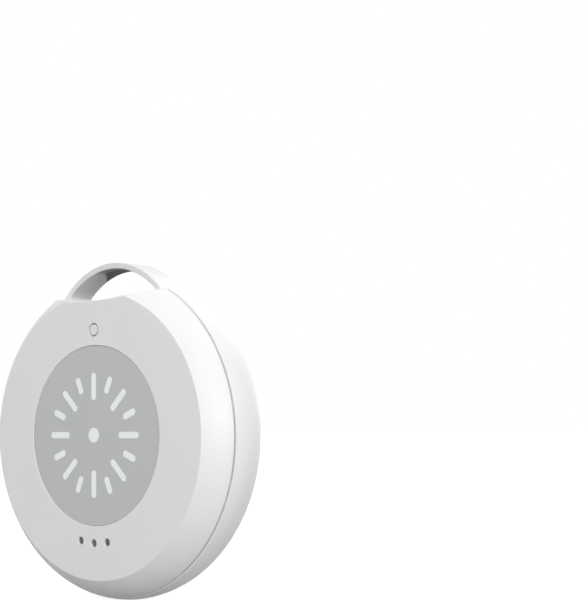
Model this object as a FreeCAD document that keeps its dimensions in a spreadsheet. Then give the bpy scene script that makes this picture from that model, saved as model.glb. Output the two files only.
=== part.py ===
import FreeCAD, Part
import math
import os

import Sketcher

# A round, wireless glass break detector for a window or a wall, in millimetres.
# X points right seen from the front, Y points back into the wall, Z points up.
# The origin is on the axis of the round case, in the plane of the mounting pads.
# Each body is drawn with Y as the depth behind the front face, and its
# placement then moves it forward, so that the pads' faces end at Y = 0.

Vector = FreeCAD.Vector
Constraint = Sketcher.Constraint

# Driving dimensions: name, millimetres (or degrees), what it is.
SIZES = [
    ("rim_radius", 35.75, "largest radius of the round case"),
    ("front_bevel", 4.97, "how far the flat front face stays inside that radius"),
    ("back_bevel", 4.3, "how far the flat back stays inside that radius"),
    ("belly_depth", 9.2, "depth at which the case is widest"),
    ("seam_depth", 5.3, "depth of the parting line between the two shells"),
    ("wall", 2.0, "wall of both shells"),
    ("face_edge_round", 0.3, "round on the edge of the front face"),
    ("back_edge_round", 0.8, "round on the edge of the back"),
    ("scoop_radius", 83.3, "radius of the hollow cut across the top"),
    ("scoop_low", 6.58, "how low that hollow goes below the top of the round outline"),
    ("groove_width", 0.5, "width of the shadow line at the parting line"),
    ("groove_cut", 0.5, "how deep the shadow line goes into the wall"),
    ("cut_beyond", 1.0, "how far a cut that goes right through runs past the surface"),
    ("lip_reach", 1.2, "how far the rear shell's lip enters the front shell"),
    ("lip_wall", 1.2, "thickness of that lip"),
    ("lip_gap", 0.1, "clearance between the lip and the front shell"),
    ("lip_root", 1.5, "height of the step that carries the lip"),
    ("inlay_radius", 19.22, "radius of the grey inlay on the front"),
    ("inlay_thickness", 0.6, "thickness of the inlay"),
    ("tape_thickness", 0.1, "thickness of the adhesive ring behind the inlay"),
    ("tape_width", 3.0, "width of that adhesive ring"),
    ("tape_margin", 0.5, "how far that ring stays inside the inlay"),
    ("inlay_sink", 0.1, "how far the inlay lies below the front face"),
    ("inlay_gap", 0.1, "clearance round the inlay"),
    ("light_height", 1.5, "height of the middle of the white band over the inlay above the light"),
    ("guide_radius", 1.24, "radius of the light guide at the front face"),
    ("guide_gap", 0.26, "ring gap round the light guide"),
    ("guide_flange", 0.86, "how far the light guide's flange stands out"),
    ("guide_flange_thickness", 0.7, "thickness of that flange"),
    ("guide_tip_radius", 1.05, "radius of the light guide next to the chip"),
    ("light_well_wall", 0.8, "wall of the ring that holds the flange"),
    ("light_well_height", 1.5, "height of that ring over the wall behind the face"),
    ("led_thickness", 0.7, "height of the status light's chip"),
    ("led_length", 1.6, "length of the status light's chip"),
    ("led_width", 0.8, "width of the status light's chip"),
    ("led_gap", 0.2, "air between the chip and the light guide"),
    ("port_circle", 3.72, "distance of the circle of sound holes from the inlay's edge"),
    ("port_radius", 0.85, "radius of each sound hole"),
    ("port_step", 10.0, "angle between two sound holes, degrees"),
    ("mesh_thickness", 0.2, "thickness of the dust mesh"),
    ("mesh_margin", 0.8, "how far the mesh reaches past the sound holes"),
    ("mesh_cap", 0.9, "how far the mesh's caps stand forward into the sound holes"),
    ("mesh_cap_gap", 0.05, "clearance round each of those caps"),
    ("gasket_thickness", 1.1, "thickness of the microphone's rubber boot"),
    ("gasket_wall", 1.2, "wall of the boot round its sound slot"),
    ("gasket_floor", 0.4, "floor of the boot over the microphone"),
    ("boot_frame_wall", 0.8, "wall of the frame that holds the boot"),
    ("boot_frame_height", 0.9, "height of that frame over the wall behind the face"),
    ("press_gap", 0.1, "clearance of pieces that are pressed into a frame or ring"),
    ("mic_thickness", 1.1, "height of the microphone"),
    ("mic_length", 3.76, "length of the microphone"),
    ("mic_width", 2.95, "width of the microphone"),
    ("mic_port_radius", 0.4, "radius of the microphone's own hole"),
    ("mic_port_gap", 0.2, "how much wider the boot's hole is than the microphone's"),
    ("board_thickness", 1.0, "thickness of the circuit board"),
    ("board_gap", 0.4, "clearance between the board's edge and the lip"),
    ("screw_inset", 3.7, "distance of the screws from the board's edge"),
    ("boss_radius", 2.6, "radius of the front shell's screw bosses"),
    ("boss_web", 1.2, "thickness of the web from each boss to the side of the shell"),
    ("boss_web_drop", 1.0, "how far that web stays below the board"),
    ("spigot_radius", 1.75, "radius of the spigot that centres the board"),
    ("spigot_gap", 0.15, "clearance between the spigot and the board"),
    ("pilot_radius", 0.9, "radius of the pilot hole that the screw cuts into"),
    ("pilot_floor", 0.6, "plastic left in front of the pilot hole"),
    ("screw_radius", 1.1, "outer radius of the screw's thread"),
    ("screw_gap", 0.2, "clearance of the screw in the rear shell"),
    ("screw_bite", 2.6, "how far the screw reaches into the front shell"),
    ("head_radius", 1.9, "radius of the screw's head"),
    ("head_height", 1.3, "height of the screw's head"),
    ("head_sink", 1.5, "how far the head lies below the back"),
    ("head_wall", 1.0, "plastic round the screw's head"),
    ("drive_length", 2.5, "length of each arm pair of the screw's cross"),
    ("drive_width", 0.55, "width of the arms of that cross"),
    ("drive_depth", 0.8, "depth of that cross"),
    ("battery_radius", 12.25, "radius of the coin cell"),
    ("battery_thickness", 7.7, "thickness of the coin cell"),
    ("battery_step", 1.6, "width of the ledge on the coin cell's negative side"),
    ("battery_cap", 0.6, "height of the coin cell's negative cap"),
    ("battery_shoulder", 0.3, "drop of the ledge from that cap to the can's side"),
    ("battery_edge", 0.4, "bevel on the coin cell's positive edge"),
    ("battery_side_gap", 0.3, "clearance round the coin cell"),
    ("battery_gap", 0.3, "clearance between the coin cell and its door"),
    ("well_wall", 1.2, "wall of the battery well"),
    ("back_rib", 1.0, "thickness of the ribs between the battery bay and the side"),
    ("back_rib_height", 2.0, "height of those ribs"),
    ("leaf_height", 0.8, "height of the contact under the coin cell"),
    ("leaf_thickness", 0.2, "thickness of both contact springs"),
    ("leaf_width", 4.0, "width of both contact springs"),
    ("leaf_foot", 4.0, "length of the leaf's soldered foot"),
    ("leaf_rise", 5.0, "length of the leaf's sloping part"),
    ("leaf_crest", 2.0, "length of the leaf's crest under the coin cell"),
    ("leaf_tip", 2.0, "length of the leaf's turned-down tip"),
    ("leaf_dip", 0.3, "how far that tip turns down"),
    ("leaf_start", 8.0, "distance of the foot's end below the axis"),
    ("clip_foot", 1.9, "how far the clip's foot reaches past the well's wall"),
    ("clip_stand", 0.6, "distance of the clip from the coin cell's side gap"),
    ("clip_touch", 0.02, "distance of the clip's crest from the can"),
    ("clip_bow", 1.6, "half the height of the clip's bow"),
    ("clip_middle", 3.1, "height of the bow's crest over the coin cell's cap"),
    ("contact_slot_gap", 0.3, "clearance of the clip on each side in the well's slot"),
    ("door_radius", 15.5, "radius of the battery door"),
    ("door_plate", 1.1, "thickness of the door's outer plate"),
    ("door_gap", 0.25, "clearance round the door"),
    ("seat_gap", 0.05, "clearance between the door's plate and its seat"),
    ("hub_inset", 2.5, "how far the door's hub stays inside its plate"),
    ("lug_reach", 1.5, "how far the bayonet lugs stand out of the hub"),
    ("lug_thickness", 1.1, "thickness of the bayonet lugs"),
    ("lug_gap", 0.3, "clearance between the lugs and their ledge"),
    ("lug_angle", 24.0, "angle that each lug spans, degrees"),
    ("lug_turn", 30.0, "turn from locked to free, degrees"),
    ("lug_slack", 1.0, "clearance angle of a lug on each side, degrees"),
    ("lug_root", 0.5, "how far the lugs are rooted in the hub"),
    ("coin_slot_width", 1.9, "width of the coin slot"),
    ("coin_slot_length", 15.0, "length of the coin slot"),
    ("coin_slot_depth", 0.9, "depth of the coin slot"),
    ("door_hollow", 1.3, "depth of the hollows in the door's hub"),
    ("door_rib", 9.0, "angle of each rib between those hollows, degrees"),
    ("loop_outer_radius", 19.73, "radius of the hang loop's outside"),
    ("loop_inner_radius", 18.88, "radius of the hang loop's inside"),
    ("loop_rise", 8.66, "height of the loop's top above the hollow"),
    ("loop_thickness", 1.4, "thickness of the loop at its top"),
    ("loop_width", 6.7, "width of the loop from front to back"),
    ("loop_gap", 0.2, "clearance between the loop and the front shell"),
    ("loop_foot", 1.86, "height above the hollow where the loop turns straight down"),
    ("loop_flare", 0.4, "how far the foot of the loop flares outwards"),
    ("loop_slot_gap", 0.1, "clearance round the loop's legs"),
    ("anchor_reach", 1.0, "how far the loop's anchors stand out of its legs"),
    ("anchor_thickness", 1.2, "thickness of those anchors"),
    ("loop_edge_round", 0.25, "round on the loop's long edges"),
    ("tamper_drop", 0.5, "drop of the plunger below the middle between battery bay and board edge"),
    ("plunger_radius", 1.5, "radius of the tamper plunger"),
    ("plunger_gap", 0.08, "clearance of the plunger in its guide"),
    ("plunger_travel", 1.4, "travel of the plunger"),
    ("plunger_proud", 0.8, "how far the free plunger stands out of the pads' plane"),
    ("flange_radius", 2.5, "radius of the plunger's flange"),
    ("flange_thickness", 1.0, "thickness of the plunger's flange"),
    ("flange_gap", 0.3, "gap between the flange and the end of its guide"),
    ("plunger_bevel", 0.4, "bevel on the plunger's outer end"),
    ("guide_tube_wall", 1.3, "wall of the plunger's guide"),
    ("guide_tube_length", 3.3, "length of the guide inside the rear shell"),
    ("stem_radius", 0.9, "radius of the plunger's thin end"),
    ("stem_gap", 0.1, "clearance of the thin end in the switch"),
    ("stem_entry", 0.5, "how far the free plunger reaches into the switch"),
    ("stem_room", 0.3, "room left under the pressed plunger in the switch"),
    ("switch_width", 6.0, "width of the tamper switch"),
    ("switch_height", 3.0, "height of the tamper switch"),
    ("spring_wire", 0.12, "radius of the tamper spring's wire"),
    ("spring_radius", 1.35, "radius of the tamper spring's coil"),
    ("spring_turns", 4.0, "turns of the tamper spring"),
    ("pad_thickness", 1.0, "thickness of the mounting pads"),
    ("pad_inner", 2.6, "distance of the pads from the battery door"),
    ("pad_outer", 1.7, "distance of the pads from the edge of the flat back"),
    ("pad_angle", 64.0, "angle that each mounting pad spans, degrees"),
    ("sensor_radius", 4.5, "radius of the shock sensor's brass plate"),
    ("ceramic_radius", 3.4, "radius of the shock sensor's ceramic"),
    ("sensor_plate", 0.25, "thickness of the brass plate"),
    ("ceramic_thickness", 0.2, "thickness of the ceramic"),
    ("sensor_gap", 1.0, "distance of the sensor from the wall beside it"),
    ("lead_radius", 0.35, "radius of the sensor's two leads"),
    ("lead_spread", 2.0, "distance of each lead from the middle"),
    ("antenna_wire", 0.4, "radius of the antenna's wire"),
    ("antenna_inset", 2.2, "distance of that wire from the board's edge"),
    ("antenna_span", 56.0, "angle that the antenna spans, degrees"),
    ("tank_pitch", 5.5, "distance between the two tank capacitors"),
    ("chip_pitch_across", 2.6, "distance between two columns of chip parts"),
    ("chip_pitch_up", 1.7, "distance between two rows of chip parts"),
]

# Flat parts on the front of the board: name, width, height, thickness, and the
# place of the centre across and up from the axis.
BOARD_PARTS = [
    ("radio_module", 12.0, 14.0, 0.8, -12.5, 3.0),
    ("radio_shield", 10.6, 10.0, 1.1, -12.5, 4.2),
    ("microcontroller", 7.0, 7.0, 0.9, 3.5, 5.0),
    ("clock_crystal", 3.2, 2.5, 0.75, 10.5, 5.0),
    ("audio_amplifier", 4.9, 3.9, 1.4, -1.5, -14.0),
    ("tank_capacitor", 7.3, 4.3, 1.9, 12.5, -5.5),
    ("chip_part", 1.6, 0.8, 0.5, -4.5, -3.0),
]
MEASURES = ("width", "height", "thickness", "across", "up")
for name, *values in BOARD_PARTS:
    for measure, value in zip(MEASURES, values):
        SIZES.append((name + "_" + measure, value, measure + " of the " + name.replace("_", " ")))

CELL = {name: "Sizes." + name for name, _, _ in SIZES}


def formula(text):
    """Turn plain size names in braces into references to the sheet."""
    return "(" + text.format(**CELL) + ")"


# The stack of pieces from the front face to the pads, each on the one before.
BOARD_FRONT = formula("{wall} + {mesh_thickness} + {gasket_thickness} + {mic_thickness}")
BOARD_BACK = formula(BOARD_FRONT + " + {board_thickness}")
BATTERY_FRONT = formula(BOARD_BACK + " + {leaf_height}")
BATTERY_BACK = formula(BATTERY_FRONT + " + {battery_thickness}")
HUB_FRONT = formula(BATTERY_BACK + " + {battery_gap}")
LUG_BACK = formula(HUB_FRONT + " + {lug_thickness}")
BACK_INSIDE = formula(LUG_BACK + " + {lug_gap}")
CASE_DEPTH = formula(BACK_INSIDE + " + {wall}")
DOOR_SEAT = formula(CASE_DEPTH + " - {door_plate}")
MOUNT_PLANE = formula(CASE_DEPTH + " + {pad_thickness}")

# The two arcs of the case's side meet at the widest depth.
FRONT_ROUND = formula("({front_bevel}^2 + {belly_depth}^2) / (2 * {front_bevel})")
BACK_ROUND = formula("({back_bevel}^2 + (" + CASE_DEPTH + " - {belly_depth})^2) / (2 * {back_bevel})")
FACE_RADIUS = formula("{rim_radius} - {front_bevel}")
BACK_RADIUS = formula("{rim_radius} - {back_bevel}")
SEAM_RADIUS = formula(
    "{rim_radius} - " + FRONT_ROUND
    + " + sqrt(" + FRONT_ROUND + "^2 - ({belly_depth} - {seam_depth})^2)"
)
SCOOP_LOW = formula("{rim_radius} - {scoop_low}")
SCOOP_CENTRE = formula(SCOOP_LOW + " + {scoop_radius}")
LIGHT_HEIGHT = formula("({inlay_radius} + " + SCOOP_LOW + ") / 2 - {light_height}")
PORT_CIRCLE = formula("{inlay_radius} + {port_circle}")

# The inside of the side wall where it meets the inside of the back.
BACK_INNER = formula(
    "{rim_radius} - " + BACK_ROUND + " + sqrt((" + BACK_ROUND
    + " - {wall})^2 - (" + BACK_INSIDE + " - {belly_depth})^2)"
)

# The lip follows the inside of the front shell at the depth of its own tip.
LIP_OFFSET = formula("{wall} + {lip_gap}")
LIP_TIP = formula("{seam_depth} - {lip_reach}")
LIP_RADIUS = formula(
    "{rim_radius} - " + FRONT_ROUND + " - {lip_gap} + sqrt((" + FRONT_ROUND
    + " - {wall})^2 - ({belly_depth} - " + LIP_TIP + ")^2)"
)
BOARD_RADIUS = formula(LIP_RADIUS + " - {lip_wall} - {board_gap}")
BOARD_SCOOP = formula("{scoop_radius} + " + LIP_OFFSET + " + {lip_wall} + {board_gap}")
SCREW_CIRCLE = formula(BOARD_RADIUS + " - {screw_inset}")
SCREW_ACROSS = formula(SCREW_CIRCLE + " * cos(45)")

# The sound holes lie on a short arc, and the slot behind them is straight.
PORT_SPREAD = formula(PORT_CIRCLE + " * sin({port_step})")
PORT_MIDDLE = formula("-" + PORT_CIRCLE + " * (1 + cos({port_step})) / 2")
BOOT_SLOT = formula("{port_radius} + {mesh_margin} / 2")

doc = FreeCAD.newDocument("GlassBreakDetector")
sheet = doc.addObject("Spreadsheet::Sheet", "Sizes")
for row, (size_name, size_value, meaning) in enumerate(SIZES, start=1):
    sheet.set("A%d" % row, meaning)
    sheet.set("B%d" % row, str(size_value))
    sheet.setAlias("B%d" % row, size_name)
doc.recompute()

parts = []


def number(expression):
    """The present value of a formula, for a shape's first guess."""
    found = sheet.evalExpression(expression)
    return float(getattr(found, "Value", found))


def keep(piece):
    """Put a finished piece in its place in the object's own frame and list it."""
    piece.setExpression("Placement.Base.y", "-" + MOUNT_PLANE)
    parts.append(piece)
    return piece


def new_body(label):
    """An empty body under its own label."""
    body = doc.addObject("PartDesign::Body", label)
    body.Label = label
    return body


def origin_plane(body, role):
    """One of the body's own origin planes or axes."""
    for feature in body.Origin.OriginFeatures:
        if feature.Role == role:
            return feature
    raise ValueError("no origin feature " + role)


def layer(body, name, depth, across="0", up="0"):
    """A sketch that faces the front, at a depth, centred at across and up."""
    sketch = body.newObject("Sketcher::SketchObject", name)
    sketch.AttachmentSupport = [(origin_plane(body, "XZ_Plane"), "")]
    sketch.MapMode = "FlatFace"
    sketch.setExpression("AttachmentOffset.Base.x", across)
    sketch.setExpression("AttachmentOffset.Base.y", up)
    sketch.setExpression("AttachmentOffset.Base.z", "-" + depth)
    return sketch


def section(body, name, role="XY_Plane", aside="0"):
    """A sketch in a plane that holds the case's axis, moved aside from it."""
    sketch = body.newObject("Sketcher::SketchObject", name)
    sketch.AttachmentSupport = [(origin_plane(body, role), "")]
    sketch.MapMode = "FlatFace"
    sketch.setExpression("AttachmentOffset.Base.z", aside)
    return sketch


def tie(sketch, constraint, expression):
    """Add a sized constraint and bind it to a formula."""
    index = sketch.addConstraint(constraint)
    sketch.setExpression("Constraints[%d]" % index, expression)


def circle(sketch, radius):
    """A circle about the sketch's own centre."""
    here = sketch.addGeometry(Part.Circle(Vector(0, 0, 0), Vector(0, 0, 1), number(radius)), False)
    sketch.addConstraint(Constraint("Coincident", here, 3, -1, 1))
    tie(sketch, Constraint("Radius", here, number(radius)), radius)


def disc(sketch, radius, across, along):
    """A circle about a point of the sketch."""
    place = Vector(number(across), number(along), 0)
    here = sketch.addGeometry(Part.Circle(place, Vector(0, 0, 1), number(radius)), False)
    tie(sketch, Constraint("Radius", here, number(radius)), radius)
    tie(sketch, Constraint("DistanceX", -1, 1, here, 3, place.x), across)
    tie(sketch, Constraint("DistanceY", -1, 1, here, 3, place.y), along)


def outline(sketch, corners):
    """A closed outline through corners given as formulas.

    A corner is (x, y), reached by a straight line from the one before, or
    (x, y, centre x, centre y, radius), reached by an arc about that centre:
    a positive radius runs anticlockwise and a negative one clockwise.
    """
    first = None
    last = None
    for place, corner in enumerate(corners):
        before = corners[place - 1]
        start = Vector(number(before[0]), number(before[1]), 0)
        end = Vector(number(corner[0]), number(corner[1]), 0)
        if len(corner) == 2:
            edge = sketch.addGeometry(Part.LineSegment(start, end), False)
            begins, ends = 1, 2
        else:
            edge, begins, ends = add_arc(sketch, start, end, corner)
        if last is None:
            first = (edge, begins)
        else:
            sketch.addConstraint(Constraint("Coincident", last[0], last[1], edge, begins))
        tie(sketch, Constraint("DistanceX", -1, 1, edge, ends, end.x), corner[0])
        tie(sketch, Constraint("DistanceY", -1, 1, edge, ends, end.y), corner[1])
        if len(corner) == 5 and abs(end.x - start.x) < abs(end.y - start.y):
            tie(sketch, Constraint("DistanceX", -1, 1, edge, 3, number(corner[2])), corner[2])
        elif len(corner) == 5:
            tie(sketch, Constraint("DistanceY", -1, 1, edge, 3, number(corner[3])), corner[3])
        last = (edge, ends)
    sketch.addConstraint(Constraint("Coincident", last[0], last[1], first[0], first[1]))


def add_arc(sketch, start, end, corner):
    """An arc from start to end; says which of its ends is which."""
    centre = Vector(number(corner[2]), number(corner[3]), 0)
    turn = number(corner[4])
    from_angle = math.atan2(start.y - centre.y, start.x - centre.x)
    to_angle = math.atan2(end.y - centre.y, end.x - centre.x)
    round_line = Part.Circle(centre, Vector(0, 0, 1), abs(turn))
    if turn > 0:
        edge = sketch.addGeometry(Part.ArcOfCircle(round_line, from_angle, to_angle), False)
        return edge, 1, 2
    edge = sketch.addGeometry(Part.ArcOfCircle(round_line, to_angle, from_angle), False)
    return edge, 2, 1


def rectangle(sketch, width, height):
    """A rectangle about the sketch's own centre."""
    half_width = formula(width + " / 2")
    half_height = formula(height + " / 2")
    outline(sketch, [
        ("-" + half_width, "-" + half_height),
        (half_width, "-" + half_height),
        (half_width, half_height),
        ("-" + half_width, half_height),
    ])


def rounded_slot(sketch, half_length, radius):
    """A level slot with round ends about the sketch's own centre."""
    outline(sketch, [
        ("-" + half_length, "-" + radius, "-" + half_length, "0", radius),
        (half_length, "-" + radius),
        (half_length, radius, half_length, "0", radius),
        ("-" + half_length, radius),
    ])


def scooped(sketch, radius, scoop):
    """The case's round outline with the hollow across its top."""
    high = formula(
        "(" + radius + "^2 - " + scoop + "^2 + " + SCOOP_CENTRE + "^2) / (2 * " + SCOOP_CENTRE + ")"
    )
    wide = formula("sqrt(" + radius + "^2 - " + high + "^2)")
    outline(sketch, [
        (wide, high, "0", "0", radius),
        ("-" + wide, high, "0", SCOOP_CENTRE, "-" + scoop),
    ])


def angle_of(width, radius):
    """The angle, in degrees, that a width spans at a radius."""
    return formula(width + " * 180 / (pi * " + radius + ")")


def sector(sketch, inner, outer, middle, span):
    """A piece of a ring, centred on the angle middle, in degrees."""
    low = formula(middle + " - " + span + " / 2")
    high = formula(middle + " + " + span + " / 2")
    outline(sketch, [
        (formula(inner + " * cos(" + low + ")"), formula(inner + " * sin(" + low + ")"),
         "0", "0", "-" + inner),
        (formula(outer + " * cos(" + low + ")"), formula(outer + " * sin(" + low + ")")),
        (formula(outer + " * cos(" + high + ")"), formula(outer + " * sin(" + high + ")"),
         "0", "0", outer),
        (formula(inner + " * cos(" + high + ")"), formula(inner + " * sin(" + high + ")")),
    ])


def pad(body, sketch, length):
    """Add material from a sketch towards the back."""
    feature = body.newObject("PartDesign::Pad", sketch.Name + "_pad")
    feature.Profile = sketch
    feature.setExpression("Length", length)
    feature.Reversed = True
    doc.recompute()
    return feature


def pocket(body, sketch, length, forwards=False):
    """Cut material from a sketch towards the back, or forwards; it must cut."""
    before = body.Shape.Volume
    feature = body.newObject("PartDesign::Pocket", sketch.Name + "_pocket")
    feature.Profile = sketch
    feature.setExpression("Length", length)
    feature.Reversed = forwards
    doc.recompute()
    if not body.Shape.Volume < before:
        raise RuntimeError(sketch.Name + " cuts nothing")
    return feature


def revolve(body, sketch):
    """Turn a section about the case's axis."""
    feature = body.newObject("PartDesign::Revolution", sketch.Name + "_turn")
    feature.Profile = sketch
    feature.ReferenceAxis = (origin_plane(body, "Y_Axis"), [""])
    feature.Angle = 360
    doc.recompute()
    return feature


def repeat(body, features, count, angle=360.0):
    """Repeat features about the case's axis; a part turn runs from first to last."""
    pattern = body.newObject("PartDesign::PolarPattern", features[0].Name + "_ring")
    pattern.Originals = features
    pattern.Axis = (origin_plane(body, "Y_Axis"), [""])
    pattern.Angle = angle
    pattern.Occurrences = count
    body.Tip = pattern
    doc.recompute()
    return pattern


def faces_at(shape, depth, tolerance=1e-4):
    """Names of the flat faces that lie at a depth and face along the axis."""
    found = []
    for place, face in enumerate(shape.Faces, start=1):
        if not isinstance(face.Surface, Part.Plane):
            continue
        if abs(face.CenterOfMass.y - depth) > tolerance:
            continue
        if abs(abs(face.Surface.Axis.y) - 1) < tolerance:
            found.append("Face%d" % place)
    return found


def round_edges(body, names, radius):
    """Round the edges or the edges of the faces named."""
    base = body.Tip
    feature = body.newObject("PartDesign::Fillet", body.Name + "_round")
    feature.Base = (base, names)
    feature.setExpression("Radius", radius)
    doc.recompute()
    return feature


def hollow(body, open_face):
    """Leave a wall inside the body, open at one face."""
    base = body.Tip
    feature = body.newObject("PartDesign::Thickness", body.Name + "_wall")
    feature.Base = (base, [open_face])
    feature.Join = 1
    feature.Reversed = True
    feature.setExpression("Value", formula("{wall}"))
    doc.recompute()
    return feature


def cut_scoop(body):
    """The hollow across the top, right through the body."""
    sketch = layer(body, body.Name + "_scoop", formula("-{cut_beyond}"), up=SCOOP_CENTRE)
    circle(sketch, formula("{scoop_radius}"))
    pocket(body, sketch, formula(CASE_DEPTH + " + 2 * {cut_beyond}"))


# Shells and what is moulded on them.

def make_front_shell():
    """The front cover: flat face, round side, and the bosses behind it."""
    body = new_body("front_shell")
    profile = section(body, "front_side")
    outline(profile, [
        ("0", "0"),
        (FACE_RADIUS, "0"),
        (SEAM_RADIUS, formula("{seam_depth}"), formula("{rim_radius} - " + FRONT_ROUND),
         formula("{belly_depth}"), FRONT_ROUND),
        ("0", formula("{seam_depth}")),
    ])
    revolve(body, profile)
    cut_scoop(body)
    hollow(body, faces_at(body.Shape, number(formula("{seam_depth}")))[0])
    round_edges(body, faces_at(body.Shape, 0.0), formula("{face_edge_round}"))

    recess = layer(body, "inlay_recess", "0")
    circle(recess, formula("{inlay_radius} + {inlay_gap}"))
    pocket(body, recess, formula("{inlay_thickness} + {tape_thickness} + {inlay_sink}"))

    light_hole = layer(body, "light_hole", "0", up=LIGHT_HEIGHT)
    circle(light_hole, formula("{guide_radius} + {guide_gap}"))
    pocket(body, light_hole, formula("{wall} + {cut_beyond}"))

    first_port = layer(
        body, "sound_hole", "0",
        across=formula(PORT_CIRCLE + " * cos(-90 - {port_step})"),
        up=formula(PORT_CIRCLE + " * sin(-90 - {port_step})"),
    )
    circle(first_port, formula("{port_radius}"))
    port_cut = pocket(body, first_port, formula("{wall} + {cut_beyond}"))
    ports = repeat(body, [port_cut], 3, 20.0)
    ports.setExpression("Angle", formula("2 * {port_step}"))
    ports.Reversed = True
    doc.recompute()

    add_bosses(body)
    add_frames(body)
    return keep(body)


def add_bosses(body):
    """Four bosses that carry the board, each with a spigot, a web and a pilot hole."""
    boss = layer(body, "boss", formula("{wall} / 2"), SCREW_ACROSS, SCREW_ACROSS)
    circle(boss, formula("{boss_radius}"))
    boss_pad = pad(body, boss, formula(BOARD_FRONT + " - {wall} / 2"))
    web = layer(body, "boss_web", formula("{wall} / 2"))
    sector(web, formula(SCREW_CIRCLE + " + {boss_radius} / 2"), formula(LIP_RADIUS + " - 3 * {lip_gap}"),
           "45", angle_of("{boss_web}", SCREW_CIRCLE))
    web_pad = pad(body, web, formula(BOARD_FRONT + " - {wall} / 2 - {boss_web_drop}"))
    spigot = layer(body, "spigot", BOARD_FRONT, SCREW_ACROSS, SCREW_ACROSS)
    circle(spigot, formula("{spigot_radius}"))
    spigot_pad = pad(body, spigot, formula("{board_thickness}"))
    pilot = layer(body, "pilot", BOARD_BACK, SCREW_ACROSS, SCREW_ACROSS)
    circle(pilot, formula("{pilot_radius}"))
    pilot_cut = pocket(body, pilot, formula(BOARD_BACK + " - {pilot_floor}"), forwards=True)
    repeat(body, [boss_pad, web_pad, spigot_pad, pilot_cut], 4)


def add_frames(body):
    """The ring that holds the light guide and the frame that holds the microphone's boot."""
    ring = layer(body, "light_well", formula("{wall} / 2"), up=LIGHT_HEIGHT)
    bore = formula("{guide_radius} + {guide_flange} + {press_gap}")
    circle(ring, formula(bore + " + {light_well_wall}"))
    circle(ring, bore)
    pad(body, ring, formula("{wall} / 2 + {light_well_height}"))
    frame = layer(body, "boot_frame", formula("{wall} / 2"), up=PORT_MIDDLE)
    room = formula(BOOT_SLOT + " + {gasket_wall} + {press_gap}")
    rounded_slot(frame, PORT_SPREAD, formula(room + " + {boot_frame_wall}"))
    rounded_slot(frame, PORT_SPREAD, room)
    pad(body, frame, formula("{wall} / 2 + {boot_frame_height}"))


def make_rear_shell():
    """The rear cover: side, back, battery well, bayonet ring and guides."""
    body = new_body("rear_shell")
    profile = section(body, "rear_side")
    outline(profile, [
        ("0", formula("{seam_depth}")),
        (SEAM_RADIUS, formula("{seam_depth}")),
        (formula("{rim_radius}"), formula("{belly_depth}"), formula("{rim_radius} - " + FRONT_ROUND),
         formula("{belly_depth}"), FRONT_ROUND),
        (BACK_RADIUS, CASE_DEPTH, formula("{rim_radius} - " + BACK_ROUND),
         formula("{belly_depth}"), BACK_ROUND),
        ("0", CASE_DEPTH),
    ])
    revolve(body, profile)
    cut_scoop(body)
    hollow(body, faces_at(body.Shape, number(formula("{seam_depth}")))[0])
    round_edges(body, faces_at(body.Shape, number(CASE_DEPTH)), formula("{back_edge_round}"))
    add_lip(body)
    add_battery_well(body)
    add_bayonet(body)
    add_back_ribs(body)
    add_screw_tubes(body)
    add_plunger_guide(body)
    cut_loop_slots(body)
    cut_shadow_line(body)
    return keep(body)


def add_lip(body):
    """The lip that enters the front shell, and the step that carries it."""
    inner_radius = formula(LIP_RADIUS + " - {lip_wall}")
    inner_scoop = formula("{scoop_radius} + " + LIP_OFFSET + " + {lip_wall}")
    root = layer(body, "lip_root", formula("{seam_depth}"))
    scooped(root, formula(SEAM_RADIUS + " - {wall} / 2"), formula("{scoop_radius} + {wall} / 2"))
    scooped(root, inner_radius, inner_scoop)
    pad(body, root, formula("{lip_root}"))
    lip = layer(body, "lip", LIP_TIP)
    scooped(lip, LIP_RADIUS, formula("{scoop_radius} + " + LIP_OFFSET))
    scooped(lip, inner_radius, inner_scoop)
    pad(body, lip, formula("{lip_reach} + {lip_root} / 2"))


WELL_RADIUS = formula("{battery_radius} + {battery_side_gap}")
HUB_RADIUS = formula("{door_radius} - {hub_inset}")
LUG_RADIUS = formula(HUB_RADIUS + " + {lug_reach}")
LEDGE_RADIUS = formula(HUB_RADIUS + " + {door_gap}")
RING_RADIUS = formula(LUG_RADIUS + " + {lug_gap}")


def add_battery_well(body):
    """The round well for the coin cell, wider at the back for the bayonet."""
    well = section(body, "well")
    outline(well, [
        (WELL_RADIUS, formula(BATTERY_FRONT + " + {leaf_height}")),
        (formula(WELL_RADIUS + " + {well_wall}"), formula(BATTERY_FRONT + " + {leaf_height}")),
        (formula(WELL_RADIUS + " + {well_wall}"), formula(BATTERY_BACK + " - 2 * {well_wall}")),
        (formula(RING_RADIUS + " + {well_wall}"), formula(BATTERY_BACK + " - {well_wall}")),
        (formula(RING_RADIUS + " + {well_wall}"), formula(BACK_INSIDE + " + {wall} / 4")),
        (WELL_RADIUS, formula(BACK_INSIDE + " + {wall} / 4")),
    ])
    revolve(body, well)


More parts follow.
